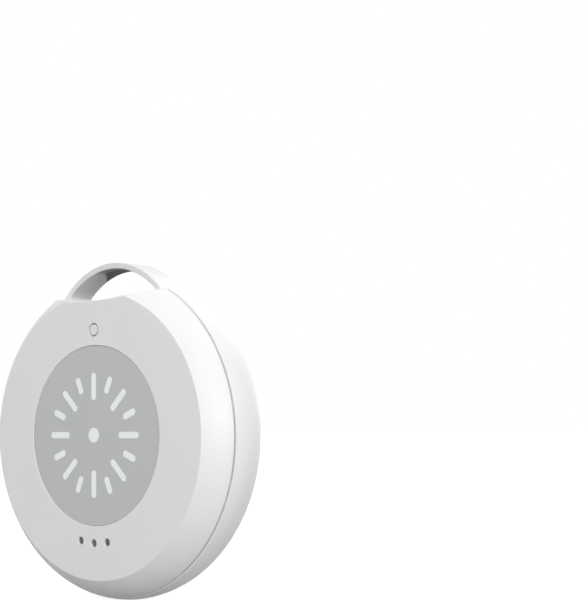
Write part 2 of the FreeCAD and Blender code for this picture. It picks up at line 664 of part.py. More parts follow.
def add_bayonet(body):
    """The door's seat, its opening and the channels that its lugs turn in."""
    seat = layer(body, "door_seat", CASE_DEPTH)
    circle(seat, formula("{door_radius} + {door_gap}"))
    pocket(body, seat, formula("{door_plate} + {seat_gap}"), forwards=True)
    mouth = layer(body, "door_mouth", CASE_DEPTH)
    circle(mouth, LEDGE_RADIUS)
    pocket(body, mouth, formula(CASE_DEPTH + " - " + BATTERY_BACK), forwards=True)

    channel_span = formula("{lug_angle} + {lug_turn} + 2 * {lug_slack}")
    channel = layer(body, "lug_channel", formula(LUG_BACK + " + {lug_gap}"))
    sector(channel, HUB_RADIUS, RING_RADIUS, formula("90 - {lug_turn} / 2"), channel_span)
    channel_cut = pocket(body, channel, formula("{lug_thickness} + 2 * {lug_gap}"), forwards=True)
    notch = layer(body, "lug_notch", CASE_DEPTH)
    sector(notch, HUB_RADIUS, RING_RADIUS, formula("90 - {lug_turn}"),
           formula("{lug_angle} + 2 * {lug_slack}"))
    notch_cut = pocket(body, notch, formula(CASE_DEPTH + " - " + LUG_BACK), forwards=True)
    repeat(body, [channel_cut, notch_cut], 3)

    contact_slot = layer(body, "contact_slot", BATTERY_FRONT, across="-" + WELL_RADIUS)
    rectangle(contact_slot, formula("4 * {well_wall}"), formula("{leaf_width} + 2 * {contact_slot_gap}"))
    pocket(body, contact_slot, formula("{battery_thickness} - 2 * {well_wall}"))


def add_back_ribs(body):
    """Low ribs from the battery bay to the side, clear of the tubes and the sensor."""
    ribs = layer(body, "back_ribs", formula(BACK_INSIDE + " - {back_rib_height}"))
    inner = formula(RING_RADIUS + " + {well_wall} / 2")
    for middle in ("-112.5", "-67.5", "-22.5", "22.5", "157.5", "202.5"):
        sector(ribs, inner, formula(BACK_INNER + " + {wall}"), middle, angle_of("{back_rib}", BACK_INNER))
    sector(ribs, inner, formula(SCOOP_LOW + " - {wall} / 2"), "90", angle_of("{back_rib}", BACK_INNER))
    pad(body, ribs, formula("{back_rib_height} + {wall} / 4"))


def add_screw_tubes(body):
    """Four tubes that press the board on the front bosses and take the screws."""
    tube = layer(body, "screw_tube", BOARD_BACK, SCREW_ACROSS, SCREW_ACROSS)
    circle(tube, formula("{head_radius} + {head_wall} + {screw_gap}"))
    tube_pad = pad(body, tube, formula(CASE_DEPTH + " - " + BOARD_BACK + " - {wall} / 2"))
    head = layer(body, "screw_head_hole", CASE_DEPTH, SCREW_ACROSS, SCREW_ACROSS)
    circle(head, formula("{head_radius} + {screw_gap}"))
    head_cut = pocket(body, head, formula("{head_sink} + {head_height}"), forwards=True)
    shank = layer(body, "screw_hole", CASE_DEPTH, SCREW_ACROSS, SCREW_ACROSS)
    circle(shank, formula("{screw_radius} + {screw_gap}"))
    shank_cut = pocket(body, shank, CASE_DEPTH, forwards=True)
    repeat(body, [tube_pad, head_cut, shank_cut], 4)


GUIDE_FRONT = formula(BACK_INSIDE + " - {guide_tube_length}")
FLANGE_BACK = formula(GUIDE_FRONT + " - {flange_gap}")
FLANGE_FRONT = formula(FLANGE_BACK + " - {flange_thickness}")
SWITCH_BACK = formula(BOARD_BACK + " + {switch_height}")
TAMPER_HEIGHT = formula("-(" + RING_RADIUS + " + {well_wall} + " + BOARD_RADIUS + ") / 2 - {tamper_drop}")


def add_plunger_guide(body):
    """The tube that guides the tamper plunger through the back."""
    tube = layer(body, "guide_tube", GUIDE_FRONT, up=TAMPER_HEIGHT)
    circle(tube, formula("{plunger_radius} + {plunger_gap} + {guide_tube_wall}"))
    pad(body, tube, formula("{guide_tube_length} + {wall} / 2"))
    bore = layer(body, "guide_bore", formula(CASE_DEPTH + " + {cut_beyond}"), up=TAMPER_HEIGHT)
    circle(bore, formula("{plunger_radius} + {plunger_gap}"))
    pocket(body, bore, formula("{guide_tube_length} + {wall} + 2 * {cut_beyond}"), forwards=True)


# The hang loop is an arch of two arcs whose legs stand in slots of the rear
# shell and are trapped by the front shell.
LOOP_FRONT = formula("{seam_depth} + {loop_gap}")
LOOP_OUTER_CENTRE = formula(SCOOP_LOW + " + {loop_rise} - {loop_outer_radius}")
LOOP_INNER_CENTRE = formula(SCOOP_LOW + " + {loop_rise} - {loop_thickness} - {loop_inner_radius}")
FOOT_HEIGHT = formula(SCOOP_LOW + " + {loop_foot}")
FOOT_OUTER = formula("sqrt({loop_outer_radius}^2 - (" + FOOT_HEIGHT + " - " + LOOP_OUTER_CENTRE + ")^2)")
FOOT_INNER = formula("sqrt({loop_inner_radius}^2 - (" + FOOT_HEIGHT + " - " + LOOP_INNER_CENTRE + ")^2)")
LEG_OUTER = formula(FOOT_OUTER + " + {loop_flare}")
ANCHOR_INNER = formula(FOOT_INNER + " - {anchor_reach}")
ANCHOR_OUTER = formula(LEG_OUTER + " + {anchor_reach}")
ANCHOR_TOP = formula(
    SCOOP_CENTRE + " - {loop_slot_gap} - sqrt(({scoop_radius} + {wall})^2 - " + ANCHOR_INNER + "^2)"
)
ANCHOR_BOTTOM = formula(ANCHOR_TOP + " - {anchor_thickness}")


def cut_loop_slots(body):
    """The two slots for the loop's legs, open towards the front shell."""
    gap = "{loop_slot_gap}"
    for side, sign in (("right", ""), ("left", "-")):
        slot = layer(body, "loop_slot_" + side, formula("{seam_depth}"))
        across = [
            formula(FOOT_INNER + " - " + gap),
            formula(LEG_OUTER + " + " + gap),
            formula(ANCHOR_OUTER + " + " + gap),
            formula(ANCHOR_INNER + " - " + gap),
        ]
        top = formula(FOOT_HEIGHT + " + {wall}")
        middle = formula(ANCHOR_TOP + " + " + gap)
        bottom = formula(ANCHOR_BOTTOM + " - " + gap)
        corners = [
            (sign + across[0], top),
            (sign + across[1], top),
            (sign + across[1], middle),
            (sign + across[2], middle),
            (sign + across[2], bottom),
            (sign + across[3], bottom),
            (sign + across[3], middle),
            (sign + across[0], middle),
        ]
        outline(slot, corners)
        pocket(body, slot, formula("{loop_gap} + {loop_width} + {loop_slot_gap}"))


def cut_shadow_line(body):
    """The narrow groove that reads as a dark line round the parting line."""
    groove = layer(body, "shadow_line", formula("{seam_depth}"))
    circle(groove, formula("{rim_radius} + {cut_beyond}"))
    scooped(groove, formula(SEAM_RADIUS + " - {groove_cut}"), formula("{scoop_radius} + {groove_cut}"))
    pocket(body, groove, formula("{groove_width}"))


def make_hang_loop():
    """The arch that the detector hangs by, with its two anchored legs."""
    body = new_body("hang_loop")
    side = layer(body, "loop_outline", LOOP_FRONT)
    flare_end = formula(SCOOP_LOW + " + {loop_foot} / 2")
    right = [
        (LEG_OUTER, flare_end),
        (LEG_OUTER, ANCHOR_TOP),
        (ANCHOR_OUTER, ANCHOR_TOP),
        (ANCHOR_OUTER, ANCHOR_BOTTOM),
        (ANCHOR_INNER, ANCHOR_BOTTOM),
        (ANCHOR_INNER, ANCHOR_TOP),
        (FOOT_INNER, ANCHOR_TOP),
        (FOOT_INNER, FOOT_HEIGHT),
    ]
    corners = [(FOOT_OUTER, FOOT_HEIGHT, "0", LOOP_OUTER_CENTRE,
                "-" + formula("{loop_outer_radius}"))] + right
    left = [("-" + across, high) for across, high in reversed(right)]
    left[0] = ("-" + FOOT_INNER, FOOT_HEIGHT, "0", LOOP_INNER_CENTRE,
               formula("{loop_inner_radius}"))
    corners = corners + left + [("-" + FOOT_OUTER, FOOT_HEIGHT)]
    outline(side, corners)
    pad(body, side, formula("{loop_width}"))
    long_edges = []
    for place, edge in enumerate(body.Shape.Edges, start=1):
        if isinstance(edge.Curve, Part.Circle) and edge.BoundBox.YLength < 1e-6:
            long_edges.append("Edge%d" % place)
    round_edges(body, long_edges, formula("{loop_edge_round}"))
    return keep(body)


# The inlay, the light and the sound path on the front.

def make_inlay():
    """The grey disc let into the front face, and the adhesive ring behind it."""
    disc = new_body("inlay_disc")
    face = layer(disc, "inlay_face", formula("{inlay_sink}"))
    circle(face, formula("{inlay_radius}"))
    pad(disc, face, formula("{inlay_thickness}"))
    keep(disc)
    ring = new_body("inlay_adhesive")
    tape = layer(ring, "tape", formula("{inlay_sink} + {inlay_thickness}"))
    circle(tape, formula("{inlay_radius} - {tape_margin}"))
    circle(tape, formula("{inlay_radius} - {tape_margin} - {tape_width}"))
    pad(ring, tape, formula("{tape_thickness}"))
    keep(ring)


def make_light():
    """The light guide behind the ring on the face, and the chip that lights it."""
    guide = new_body("light_guide")
    side = section(guide, "guide_side")
    tip = formula(BOARD_FRONT + " - {led_thickness} - {led_gap}")
    outline(side, [
        ("0", "0"),
        (formula("{guide_radius}"), "0"),
        (formula("{guide_radius}"), formula("{wall}")),
        (formula("{guide_radius} + {guide_flange}"), formula("{wall}")),
        (formula("{guide_radius} + {guide_flange}"), formula("{wall} + {guide_flange_thickness}")),
        (formula("{guide_radius}"), formula("{wall} + {guide_flange_thickness}")),
        (formula("{guide_tip_radius}"), tip),
        ("0", tip),
    ])
    revolve(guide, side)
    guide.setExpression("Placement.Base.z", LIGHT_HEIGHT)
    keep(guide)
    parts.append(make_block("status_led", "{led_length}", "{led_width}", "{led_thickness}", "0",
                            LIGHT_HEIGHT))


def make_block(label, width, height, thickness, across, up):
    """A flat part on the front of the board, centred at a point."""
    block = doc.addObject("Part::Box", label)
    block.Label = label
    block.setExpression("Length", formula(width))
    block.setExpression("Height", formula(height))
    block.setExpression("Width", formula(thickness))
    block.setExpression("Placement.Base.x", formula(across + " - " + width + " / 2"))
    block.setExpression("Placement.Base.z", formula(up + " - " + height + " / 2"))
    block.setExpression("Placement.Base.y", formula(BOARD_FRONT + " - " + thickness + " - " + MOUNT_PLANE))
    return block


def make_sound_path():
    """The dust mesh with its caps, the rubber boot and the microphone behind the sound holes."""
    mesh = new_body("microphone_mesh")
    weave = layer(mesh, "mesh_outline", formula("{wall}"), up=PORT_MIDDLE)
    rounded_slot(weave, PORT_SPREAD, formula("{port_radius} + {mesh_margin}"))
    pad(mesh, weave, formula("{mesh_thickness}"))
    first_cap = layer(
        mesh, "mesh_cap", formula("{wall} - {mesh_cap}"),
        across=formula(PORT_CIRCLE + " * cos(-90 - {port_step})"),
        up=formula(PORT_CIRCLE + " * sin(-90 - {port_step})"),
    )
    circle(first_cap, formula("{port_radius} - {mesh_cap_gap}"))
    cap_pad = pad(mesh, first_cap, formula("{mesh_cap} + {mesh_thickness} / 2"))
    caps = repeat(mesh, [cap_pad], 3, 20.0)
    caps.setExpression("Angle", formula("2 * {port_step}"))
    caps.Reversed = True
    doc.recompute()
    keep(mesh)

    boot = new_body("microphone_gasket")
    rim = layer(boot, "boot_outline", formula("{wall} + {mesh_thickness}"), up=PORT_MIDDLE)
    rounded_slot(rim, PORT_SPREAD, formula(BOOT_SLOT + " + {gasket_wall}"))
    pad(boot, rim, formula("{gasket_thickness}"))
    slot = layer(boot, "boot_slot", formula("{wall} + {mesh_thickness}"), up=PORT_MIDDLE)
    rounded_slot(slot, PORT_SPREAD, BOOT_SLOT)
    pocket(boot, slot, formula("{gasket_thickness} - {gasket_floor}"))
    port = layer(boot, "boot_port", formula("{wall} + {mesh_thickness}"), up=PORT_MIDDLE)
    circle(port, formula("{mic_port_radius} + {mic_port_gap}"))
    pocket(boot, port, formula("{gasket_thickness}"))
    keep(boot)

    microphone = new_body("microphone")
    can = layer(microphone, "microphone_outline", formula(BOARD_FRONT + " - {mic_thickness}"), up=PORT_MIDDLE)
    rectangle(can, formula("{mic_length}"), formula("{mic_width}"))
    pad(microphone, can, formula("{mic_thickness}"))
    hole = layer(microphone, "microphone_port", formula(BOARD_FRONT + " - {mic_thickness}"), up=PORT_MIDDLE)
    circle(hole, formula("{mic_port_radius}"))
    pocket(microphone, hole, formula("{mic_thickness} / 2"))
    keep(microphone)


# The circuit board and what is soldered to it.

def make_board():
    """The board: the case's outline, with a hole for each spigot."""
    body = new_body("main_board")
    edge = layer(body, "board_edge", BOARD_FRONT)
    scooped(edge, BOARD_RADIUS, BOARD_SCOOP)
    pad(body, edge, formula("{board_thickness}"))
    hole = layer(body, "board_hole", BOARD_FRONT, SCREW_ACROSS, SCREW_ACROSS)
    circle(hole, formula("{spigot_radius} + {spigot_gap}"))
    cut = pocket(body, hole, formula("{board_thickness}"))
    repeat(body, [cut], 4)
    return keep(body)


def make_group(label, pieces):
    """Several loose solids of one kind in one node."""
    group = doc.addObject("Part::Compound", label)
    group.Label = label
    group.Links = pieces
    parts.append(group)
    return group


def make_board_part(label, kind, across="0", up="0"):
    """One of the flat parts listed above, moved across and up from its place."""
    width, height, thickness, middle, level = ["{%s_%s}" % (kind, measure) for measure in MEASURES]
    return make_block(label, width, height, thickness, formula(middle + " + " + across),
                      formula(level + " + " + up))


def make_board_parts():
    """The radio, the controller and the smaller parts on the board."""
    for label in ("radio_module", "radio_shield", "microcontroller", "clock_crystal", "audio_amplifier"):
        parts.append(make_board_part(label, label))
    on_radio = formula(BOARD_FRONT + " - {radio_module_thickness} - {radio_shield_thickness}")
    parts[-4].setExpression("Placement.Base.y", formula(on_radio + " - " + MOUNT_PLANE))
    tanks = []
    for row in range(2):
        tanks.append(make_board_part("tank_%d" % row, "tank_capacitor", up="-%d * {tank_pitch}" % row))
    make_group("tank_capacitors", tanks)
    chips = []
    for column in range(4):
        for row in range(3):
            chips.append(make_board_part("chip_%d_%d" % (column, row), "chip_part",
                                         "%d * {chip_pitch_across}" % column, "-%d * {chip_pitch_up}" % row))
    make_group("chip_parts", chips)


def make_antenna():
    """A wire antenna that lies on the board along its left edge."""
    body = new_body("antenna")
    spot = section(body, "antenna_wire_outline")
    disc(spot, formula("{antenna_wire}"), formula(BOARD_RADIUS + " - {antenna_inset}"),
         formula(BOARD_FRONT + " - {antenna_wire}"))
    turn = body.newObject("PartDesign::Revolution", "antenna_turn")
    turn.Profile = spot
    turn.ReferenceAxis = (origin_plane(body, "Y_Axis"), [""])
    turn.setExpression("Angle", formula("{antenna_span}"))
    turn.Midplane = True
    doc.recompute()
    body.Placement = FreeCAD.Placement(Vector(0, 0, 0), FreeCAD.Rotation(Vector(0, 1, 0), 180))
    return keep(body)


# Battery, contacts and the twist-off door.

def make_battery():
    """A coin cell: the can and, towards the board, the narrower negative cap."""
    body = new_body("battery")
    side = section(body, "battery_side")
    outline(side, [
        ("0", BATTERY_FRONT),
        (formula("{battery_radius} - {battery_step}"), BATTERY_FRONT),
        (formula("{battery_radius} - {battery_step}"), formula(BATTERY_FRONT + " + {battery_cap}")),
        (formula("{battery_radius}"), formula(BATTERY_FRONT + " + {battery_cap} + {battery_shoulder}")),
        (formula("{battery_radius}"), formula(BATTERY_BACK + " - {battery_edge}")),
        (formula("{battery_radius} - {battery_edge}"), BATTERY_BACK),
        ("0", BATTERY_BACK),
    ])
    revolve(body, side)
    return keep(body)


def make_contacts():
    """The leaf under the cell and the spring that leans on its can."""
    leaf = new_body("battery_contact_negative")
    strip = section(leaf, "leaf_side", "YZ_Plane", "-" + formula("{leaf_width} / 2"))
    base = BOARD_BACK
    crest = BATTERY_FRONT
    thick = "{leaf_thickness}"
    foot_end = formula("{leaf_foot} - {leaf_start}")
    crest_start = formula(foot_end + " + {leaf_rise}")
    crest_end = formula(crest_start + " + {leaf_crest}")
    tip = formula(crest_end + " + {leaf_tip}")
    outline(strip, [
        (base, formula("-{leaf_start}")),
        (formula(base + " + " + thick), formula("-{leaf_start}")),
        (formula(base + " + " + thick), foot_end),
        (crest, crest_start),
        (crest, crest_end),
        (formula(crest + " - {leaf_dip}"), tip),
        (formula(crest + " - {leaf_dip} - " + thick), tip),
        (formula(crest + " - " + thick), crest_end),
        (formula(crest + " - " + thick), crest_start),
        (base, foot_end),
    ])
    side_pad(leaf, strip, formula("{leaf_width}"))
    keep(leaf)

    clip = new_body("battery_contact_positive")
    bend = section(clip, "clip_side", "XY_Plane", "-" + formula("{leaf_width} / 2"))
    touch = formula("-{battery_radius} - {clip_touch}")
    rest = formula("-{battery_radius} - {battery_side_gap} - {clip_stand}")
    back = formula(rest + " - " + thick)
    foot = formula(rest + " - {well_wall} - {clip_foot}")
    middle = formula(BATTERY_FRONT + " + {clip_middle}")
    outline(bend, [
        (foot, base),
        (rest, base),
        (rest, formula(middle + " - {clip_bow}")),
        (touch, middle),
        (rest, formula(middle + " + {clip_bow}")),
        (back, formula(middle + " + {clip_bow}")),
        (formula(touch + " - 1.4 * " + thick), middle),
        (back, formula(middle + " - {clip_bow} + " + thick)),
        (back, formula(base + " + " + thick)),
        (foot, formula(base + " + " + thick)),
    ])
    side_pad(clip, bend, formula("{leaf_width}"))
    keep(clip)


def side_pad(body, sketch, length):
    """Add material along the sketch's own normal."""
    feature = body.newObject("PartDesign::Pad", sketch.Name + "_pad")
    feature.Profile = sketch
    feature.setExpression("Length", length)
    doc.recompute()
    return feature


def make_battery_door():
    """The round door: plate, hub with three bayonet lugs, and a coin slot."""
    body = new_body("battery_door")
    side = section(body, "door_side")
    outline(side, [
        ("0", HUB_FRONT),
        (HUB_RADIUS, HUB_FRONT),
        (HUB_RADIUS, DOOR_SEAT),
        (formula("{door_radius}"), DOOR_SEAT),
        (formula("{door_radius}"), CASE_DEPTH),
        ("0", CASE_DEPTH),
    ])
    revolve(body, side)
    lug = layer(body, "lug", HUB_FRONT)
    sector(lug, formula(HUB_RADIUS + " - {lug_root}"), LUG_RADIUS, "90", formula("{lug_angle}"))
    lug_pad = pad(body, lug, formula("{lug_thickness}"))
    repeat(body, [lug_pad], 3)
    slot = layer(body, "coin_slot", CASE_DEPTH)
    rounded_slot(slot, formula("({coin_slot_length} - {coin_slot_width}) / 2"),
                 formula("{coin_slot_width} / 2"))
    pocket(body, slot, formula("{coin_slot_depth}"), forwards=True)
    inside = layer(body, "door_hollow_outline", HUB_FRONT)
    sector(inside, formula(HUB_RADIUS + " / 2"), formula(HUB_RADIUS + " - {well_wall}"), "90",
           formula("60 - {door_rib}"))
    hollow_cut = pocket(body, inside, formula("{door_hollow}"))
    repeat(body, [hollow_cut], 6)
    return keep(body)


# The tamper switch, its plunger and its spring.

def make_tamper():
    """The switch on the board, the plunger through the back and the spring."""
    switch = new_body("tamper_switch")
    case = layer(switch, "switch_outline", BOARD_BACK, up=TAMPER_HEIGHT)
    rectangle(case, formula("{switch_width}"), formula("{switch_width}"))
    pad(switch, case, formula("{switch_height}"))
    socket = layer(switch, "switch_socket", SWITCH_BACK, up=TAMPER_HEIGHT)
    circle(socket, formula("{stem_radius} + {stem_gap}"))
    pocket(switch, socket, formula("{stem_entry} + {plunger_travel} + {stem_room}"), forwards=True)
    keep(switch)

    plunger = new_body("tamper_plunger")
    side = section(plunger, "plunger_side")
    stem_tip = formula(SWITCH_BACK + " - {stem_entry}")
    end = formula(MOUNT_PLANE + " + {plunger_proud}")
    outline(side, [
        ("0", stem_tip),
        (formula("{stem_radius}"), stem_tip),
        (formula("{stem_radius}"), FLANGE_FRONT),
        (formula("{flange_radius}"), FLANGE_FRONT),
        (formula("{flange_radius}"), FLANGE_BACK),
        (formula("{plunger_radius}"), FLANGE_BACK),
        (formula("{plunger_radius}"), formula(end + " - {plunger_bevel}")),
        (formula("{plunger_radius} - {plunger_bevel}"), end),
        ("0", end),
    ])
    revolve(plunger, side)
    plunger.setExpression("Placement.Base.z", TAMPER_HEIGHT)
    keep(plunger)

    spring = new_body("tamper_spring")
    wire = section(spring, "spring_wire_outline")
    disc(wire, formula("{spring_wire}"), formula("{spring_radius}"),
         formula(SWITCH_BACK + " + {spring_wire}"))
    coil = spring.newObject("PartDesign::AdditiveHelix", "spring_coil")
    coil.Profile = wire
    coil.ReferenceAxis = (origin_plane(spring, "Y_Axis"), [""])
    coil.Mode = 2
    length = formula(FLANGE_FRONT + " - " + SWITCH_BACK + " - 2 * {spring_wire}")
    coil.setExpression("Height", length)
    coil.setExpression("Turns", formula("{spring_turns}"))
    doc.recompute()
    spring.setExpression("Placement.Base.z", TAMPER_HEIGHT)
    keep(spring)


# The shock sensor bonded inside the back, with its two leads.

SENSOR_ACROSS = formula(BACK_INNER + " - {sensor_gap} - {sensor_radius}")


def make_shock_sensor():
    """A brass plate with a ceramic disc, and two leads to the board."""
    plate = new_body("shock_sensor_plate")
    disc = layer(plate, "plate_outline", formula(BACK_INSIDE + " - {sensor_plate}"), across=SENSOR_ACROSS)
    circle(disc, formula("{sensor_radius}"))
    pad(plate, disc, formula("{sensor_plate}"))
    keep(plate)

    ceramic = new_body("shock_sensor_ceramic")
    face = formula(BACK_INSIDE + " - {sensor_plate} - {ceramic_thickness}")
    disc = layer(ceramic, "ceramic_outline", face, across=SENSOR_ACROSS)
    circle(disc, formula("{ceramic_radius}"))
    pad(ceramic, disc, formula("{ceramic_thickness}"))
    keep(ceramic)

    leads = []
    for name, sign in (("low", "-"), ("high", "")):
        lead = doc.addObject("Part::Cylinder", "lead_" + name)
        lead.setExpression("Radius", formula("{lead_radius}"))
        lead.setExpression("Height", formula(face + " - " + BOARD_BACK))
        lead.Placement = FreeCAD.Placement(Vector(0, 0, 0), FreeCAD.Rotation(Vector(1, 0, 0), -90))
        lead.setExpression("Placement.Base.x", SENSOR_ACROSS)
        lead.setExpression("Placement.Base.y", formula(BOARD_BACK + " - " + MOUNT_PLANE))
        lead.setExpression("Placement.Base.z", sign + formula("{lead_spread}"))
        leads.append(lead)
    make_group("shock_sensor_leads", leads)


# Screws and mounting pads.

def make_screws():
    """Four pan-head screws that hold the shells and the board together."""
    body = new_body("case_screws")
    tip = formula(BOARD_BACK + " - {screw_bite}")
    head_front = formula(CASE_DEPTH + " - {head_sink} - {head_height}")
    shank = layer(body, "shank_outline", tip, SCREW_ACROSS, SCREW_ACROSS)
    circle(shank, formula("{screw_radius}"))
    shank_pad = pad(body, shank, formula(head_front + " - " + tip))
    head = layer(body, "head_outline", head_front, SCREW_ACROSS, SCREW_ACROSS)
    circle(head, formula("{head_radius}"))
    head_pad = pad(body, head, formula("{head_height}"))
    head_back = formula(head_front + " + {head_height}")
    cuts = []
    for name, wide, high in (("level_arms", "{drive_length}", "{drive_width}"),
                             ("upright_arms", "{drive_width}", "{drive_length}")):
        arms = layer(body, name, head_back, SCREW_ACROSS, SCREW_ACROSS)
        rectangle(arms, formula(wide), formula(high))
        cuts.append(pocket(body, arms, formula("{drive_depth}"), forwards=True))
    body.AllowCompound = True
    repeat(body, [shank_pad, head_pad] + cuts, 4)
    return keep(body)


def make_pads():
    """Two foam pads, one each side of the battery door."""
    inner = formula("{door_radius} + {pad_inner}")
    outer = formula(BACK_RADIUS + " - {pad_outer}")
    for label, middle in (("mounting_pad_right", "0"), ("mounting_pad_left", "180")):
        body = new_body(label)
        face = layer(body, label + "_outline", CASE_DEPTH)
        sector(face, inner, outer, middle, formula("{pad_angle}"))
        pad(body, face, formula("{pad_thickness}"))
        keep(body)


make_front_shell()
make_rear_shell()
make_hang_loop()
make_inlay()
make_light()
make_sound_path()
make_board()
make_board_parts()
make_antenna()
make_battery()
make_contacts()
make_battery_door()
make_tamper()
make_shock_sensor()
make_screws()
make_pads()
doc.recompute()

for item in doc.Objects:
    if "Invalid" in item.State or "Error" in item.State:
        raise RuntimeError("%s is in state %s" % (item.Name, item.State))
for part in parts:
    if part.Shape.isNull() or not part.Shape.isValid():
        raise RuntimeError(part.Label + " has no valid shape")

os.makedirs("parts", exist_ok=True)
for part in parts:
    part.Shape.exportStep("parts/" + part.Label + ".step")
    box = part.Shape.BoundBox
    print("%-26s %2d solid(s) %9.2f mm3  x %6.2f..%6.2f  y %6.2f..%6.2f  z %6.2f..%6.2f" % (
        part.Label, len(part.Shape.Solids), part.Shape.Volume,
        box.XMin, box.XMax, box.YMin, box.YMax, box.ZMin, box.ZMax))
print(len(parts), "parts")
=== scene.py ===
# %% [markdown]
# # Dressing a round glass break detector
# The detector is a flat, round, white case about 71 mm across, with a thin hang loop over a
# hollow in its top, a grey disc in its face, a status light, three sound holes, and a battery
# door and foam pads on its back. This lesson builds the visible skins as clean meshes around
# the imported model, gives every piece a procedural finish, and lights it like a product photo.
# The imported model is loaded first, because each piece has to sit exactly where it does there.

# %% Load the frame
import math

import bmesh
import bpy
from mathutils import Matrix, Vector


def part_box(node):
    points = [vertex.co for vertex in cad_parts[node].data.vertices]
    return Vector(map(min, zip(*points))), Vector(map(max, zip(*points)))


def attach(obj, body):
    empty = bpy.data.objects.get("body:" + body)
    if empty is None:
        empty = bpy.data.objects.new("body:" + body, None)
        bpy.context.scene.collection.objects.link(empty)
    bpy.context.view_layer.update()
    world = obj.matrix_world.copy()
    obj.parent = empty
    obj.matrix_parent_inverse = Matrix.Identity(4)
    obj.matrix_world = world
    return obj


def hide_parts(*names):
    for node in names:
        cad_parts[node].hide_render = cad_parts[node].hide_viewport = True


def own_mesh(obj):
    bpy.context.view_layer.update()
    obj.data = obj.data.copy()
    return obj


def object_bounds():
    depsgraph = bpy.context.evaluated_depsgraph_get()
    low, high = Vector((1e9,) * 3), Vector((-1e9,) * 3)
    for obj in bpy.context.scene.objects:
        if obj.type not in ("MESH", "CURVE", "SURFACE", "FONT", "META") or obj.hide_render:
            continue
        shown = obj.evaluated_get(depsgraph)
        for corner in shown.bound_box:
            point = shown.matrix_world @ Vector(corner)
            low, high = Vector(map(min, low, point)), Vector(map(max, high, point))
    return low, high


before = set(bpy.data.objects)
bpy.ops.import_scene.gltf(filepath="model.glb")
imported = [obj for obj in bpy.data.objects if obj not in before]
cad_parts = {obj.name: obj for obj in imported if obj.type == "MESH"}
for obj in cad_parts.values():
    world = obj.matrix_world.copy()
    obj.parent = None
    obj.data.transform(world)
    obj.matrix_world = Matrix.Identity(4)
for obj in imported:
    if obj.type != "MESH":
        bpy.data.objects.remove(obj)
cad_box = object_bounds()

print("packed nodes:", len(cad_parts))

# %% [markdown]
# ## Driving sizes
# A moulded case is drawn from few sizes: the radius of its widest line, how far the face and
# the back lie inside that line, the depths where the side changes, and the wall. They are
# written in millimetres, measured from the flat face backwards, and turned into metres only
# when a vertex is made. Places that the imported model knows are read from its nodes.

# %% Sizes in millimetres
MM = 0.001
RIM_RADIUS = 35.75
FACE_INSET = 4.97
BACK_INSET = 4.3
BELLY_DEPTH = 9.2
SEAM_DEPTH = 5.3
CASE_DEPTH = 17.6
WALL = 2.0
BACK_INSIDE = CASE_DEPTH - WALL
SCOOP_RADIUS = 83.3
SCOOP_LOW = RIM_RADIUS - 6.58
SCOOP_CENTRE = SCOOP_LOW + SCOOP_RADIUS
FRONT_ROUND = (FACE_INSET ** 2 + BELLY_DEPTH ** 2) / (2 * FACE_INSET)
BACK_ROUND = (BACK_INSET ** 2 + (CASE_DEPTH - BELLY_DEPTH) ** 2) / (2 * BACK_INSET)


def node_box(name):
    """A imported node's lowest and highest corner, in millimetres."""
    low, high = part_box(name)
    return low / MM, high / MM


def node_middle(name):
    """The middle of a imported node's box, in millimetres."""
    low, high = node_box(name)
    return (low + high) / 2


FACE_PLANE = node_box("front_shell")[0].y


def node_depths(name):
    """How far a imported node's front and back lie behind the face, in millimetres."""
    low, high = node_box(name)
    return low.y - FACE_PLANE, high.y - FACE_PLANE


print("face plane at y = %.2f mm" % FACE_PLANE)

# %% [markdown]
# ## Closed lines
# Every moulded piece here is a stack of closed lines that lie at a depth: circles, slots and
# the case's own outline, which is a circle with a hollow across its top. The two corners
# where the hollow meets the circle are small arcs that touch both, as a mould tool has them.

# %% Circles, slots and the case's outline
CIRCLE_POINTS = 48
SLOT_POINTS = 24
ARC_POINTS = 220
HOLLOW_POINTS = 48
CORNER_POINTS = 8
CORNER_ROUND = 0.55


def circle(radius, across=0.0, up=0.0, count=CIRCLE_POINTS):
    """A circle as a closed line."""
    return [(across + radius * math.cos(math.tau * place / count),
             up + radius * math.sin(math.tau * place / count)) for place in range(count)]


def slot(half_length, radius, up=0.0):
    """A level slot with round ends."""
    points = []
    for side in (1, -1):
        for place in range(SLOT_POINTS + 1):
            turn = math.pi * (place / SLOT_POINTS - 0.5)
            points.append((side * (half_length + radius * math.cos(turn)),
                           up + side * radius * math.sin(turn)))
    return points


def scooped(radius, hollow=SCOOP_RADIUS, corner=CORNER_ROUND):
    """The case's outline: a circle whose top is cut by a wide arc, with rounded corners."""
    up = ((radius - corner) ** 2 - (hollow + corner) ** 2 + SCOOP_CENTRE ** 2) / (2 * SCOOP_CENTRE)
    across = math.sqrt((radius - corner) ** 2 - up ** 2)
    outer = math.atan2(up, across)
    inner = math.atan2(SCOOP_CENTRE - up, -across)
    half = math.atan2(across, SCOOP_CENTRE - up)
    points = []
    for place in range(ARC_POINTS):
        turn = outer - (math.pi + 2 * outer) * place / ARC_POINTS
        points.append((radius * math.cos(turn), radius * math.sin(turn)))
    for place in range(CORNER_POINTS):
        turn = math.pi - outer - (inner - outer) * place / CORNER_POINTS
        points.append((-across + corner * math.cos(turn), up + corner * math.sin(turn)))
    for place in range(HOLLOW_POINTS + 1):
        turn = -math.pi / 2 - half + 2 * half * place / HOLLOW_POINTS
        points.append((hollow * math.cos(turn), SCOOP_CENTRE + hollow * math.sin(turn)))
    for place in range(1, CORNER_POINTS):
        turn = inner - (inner - outer) * place / CORNER_POINTS
        points.append((across + corner * math.cos(turn), up + corner * math.sin(turn)))
    return points


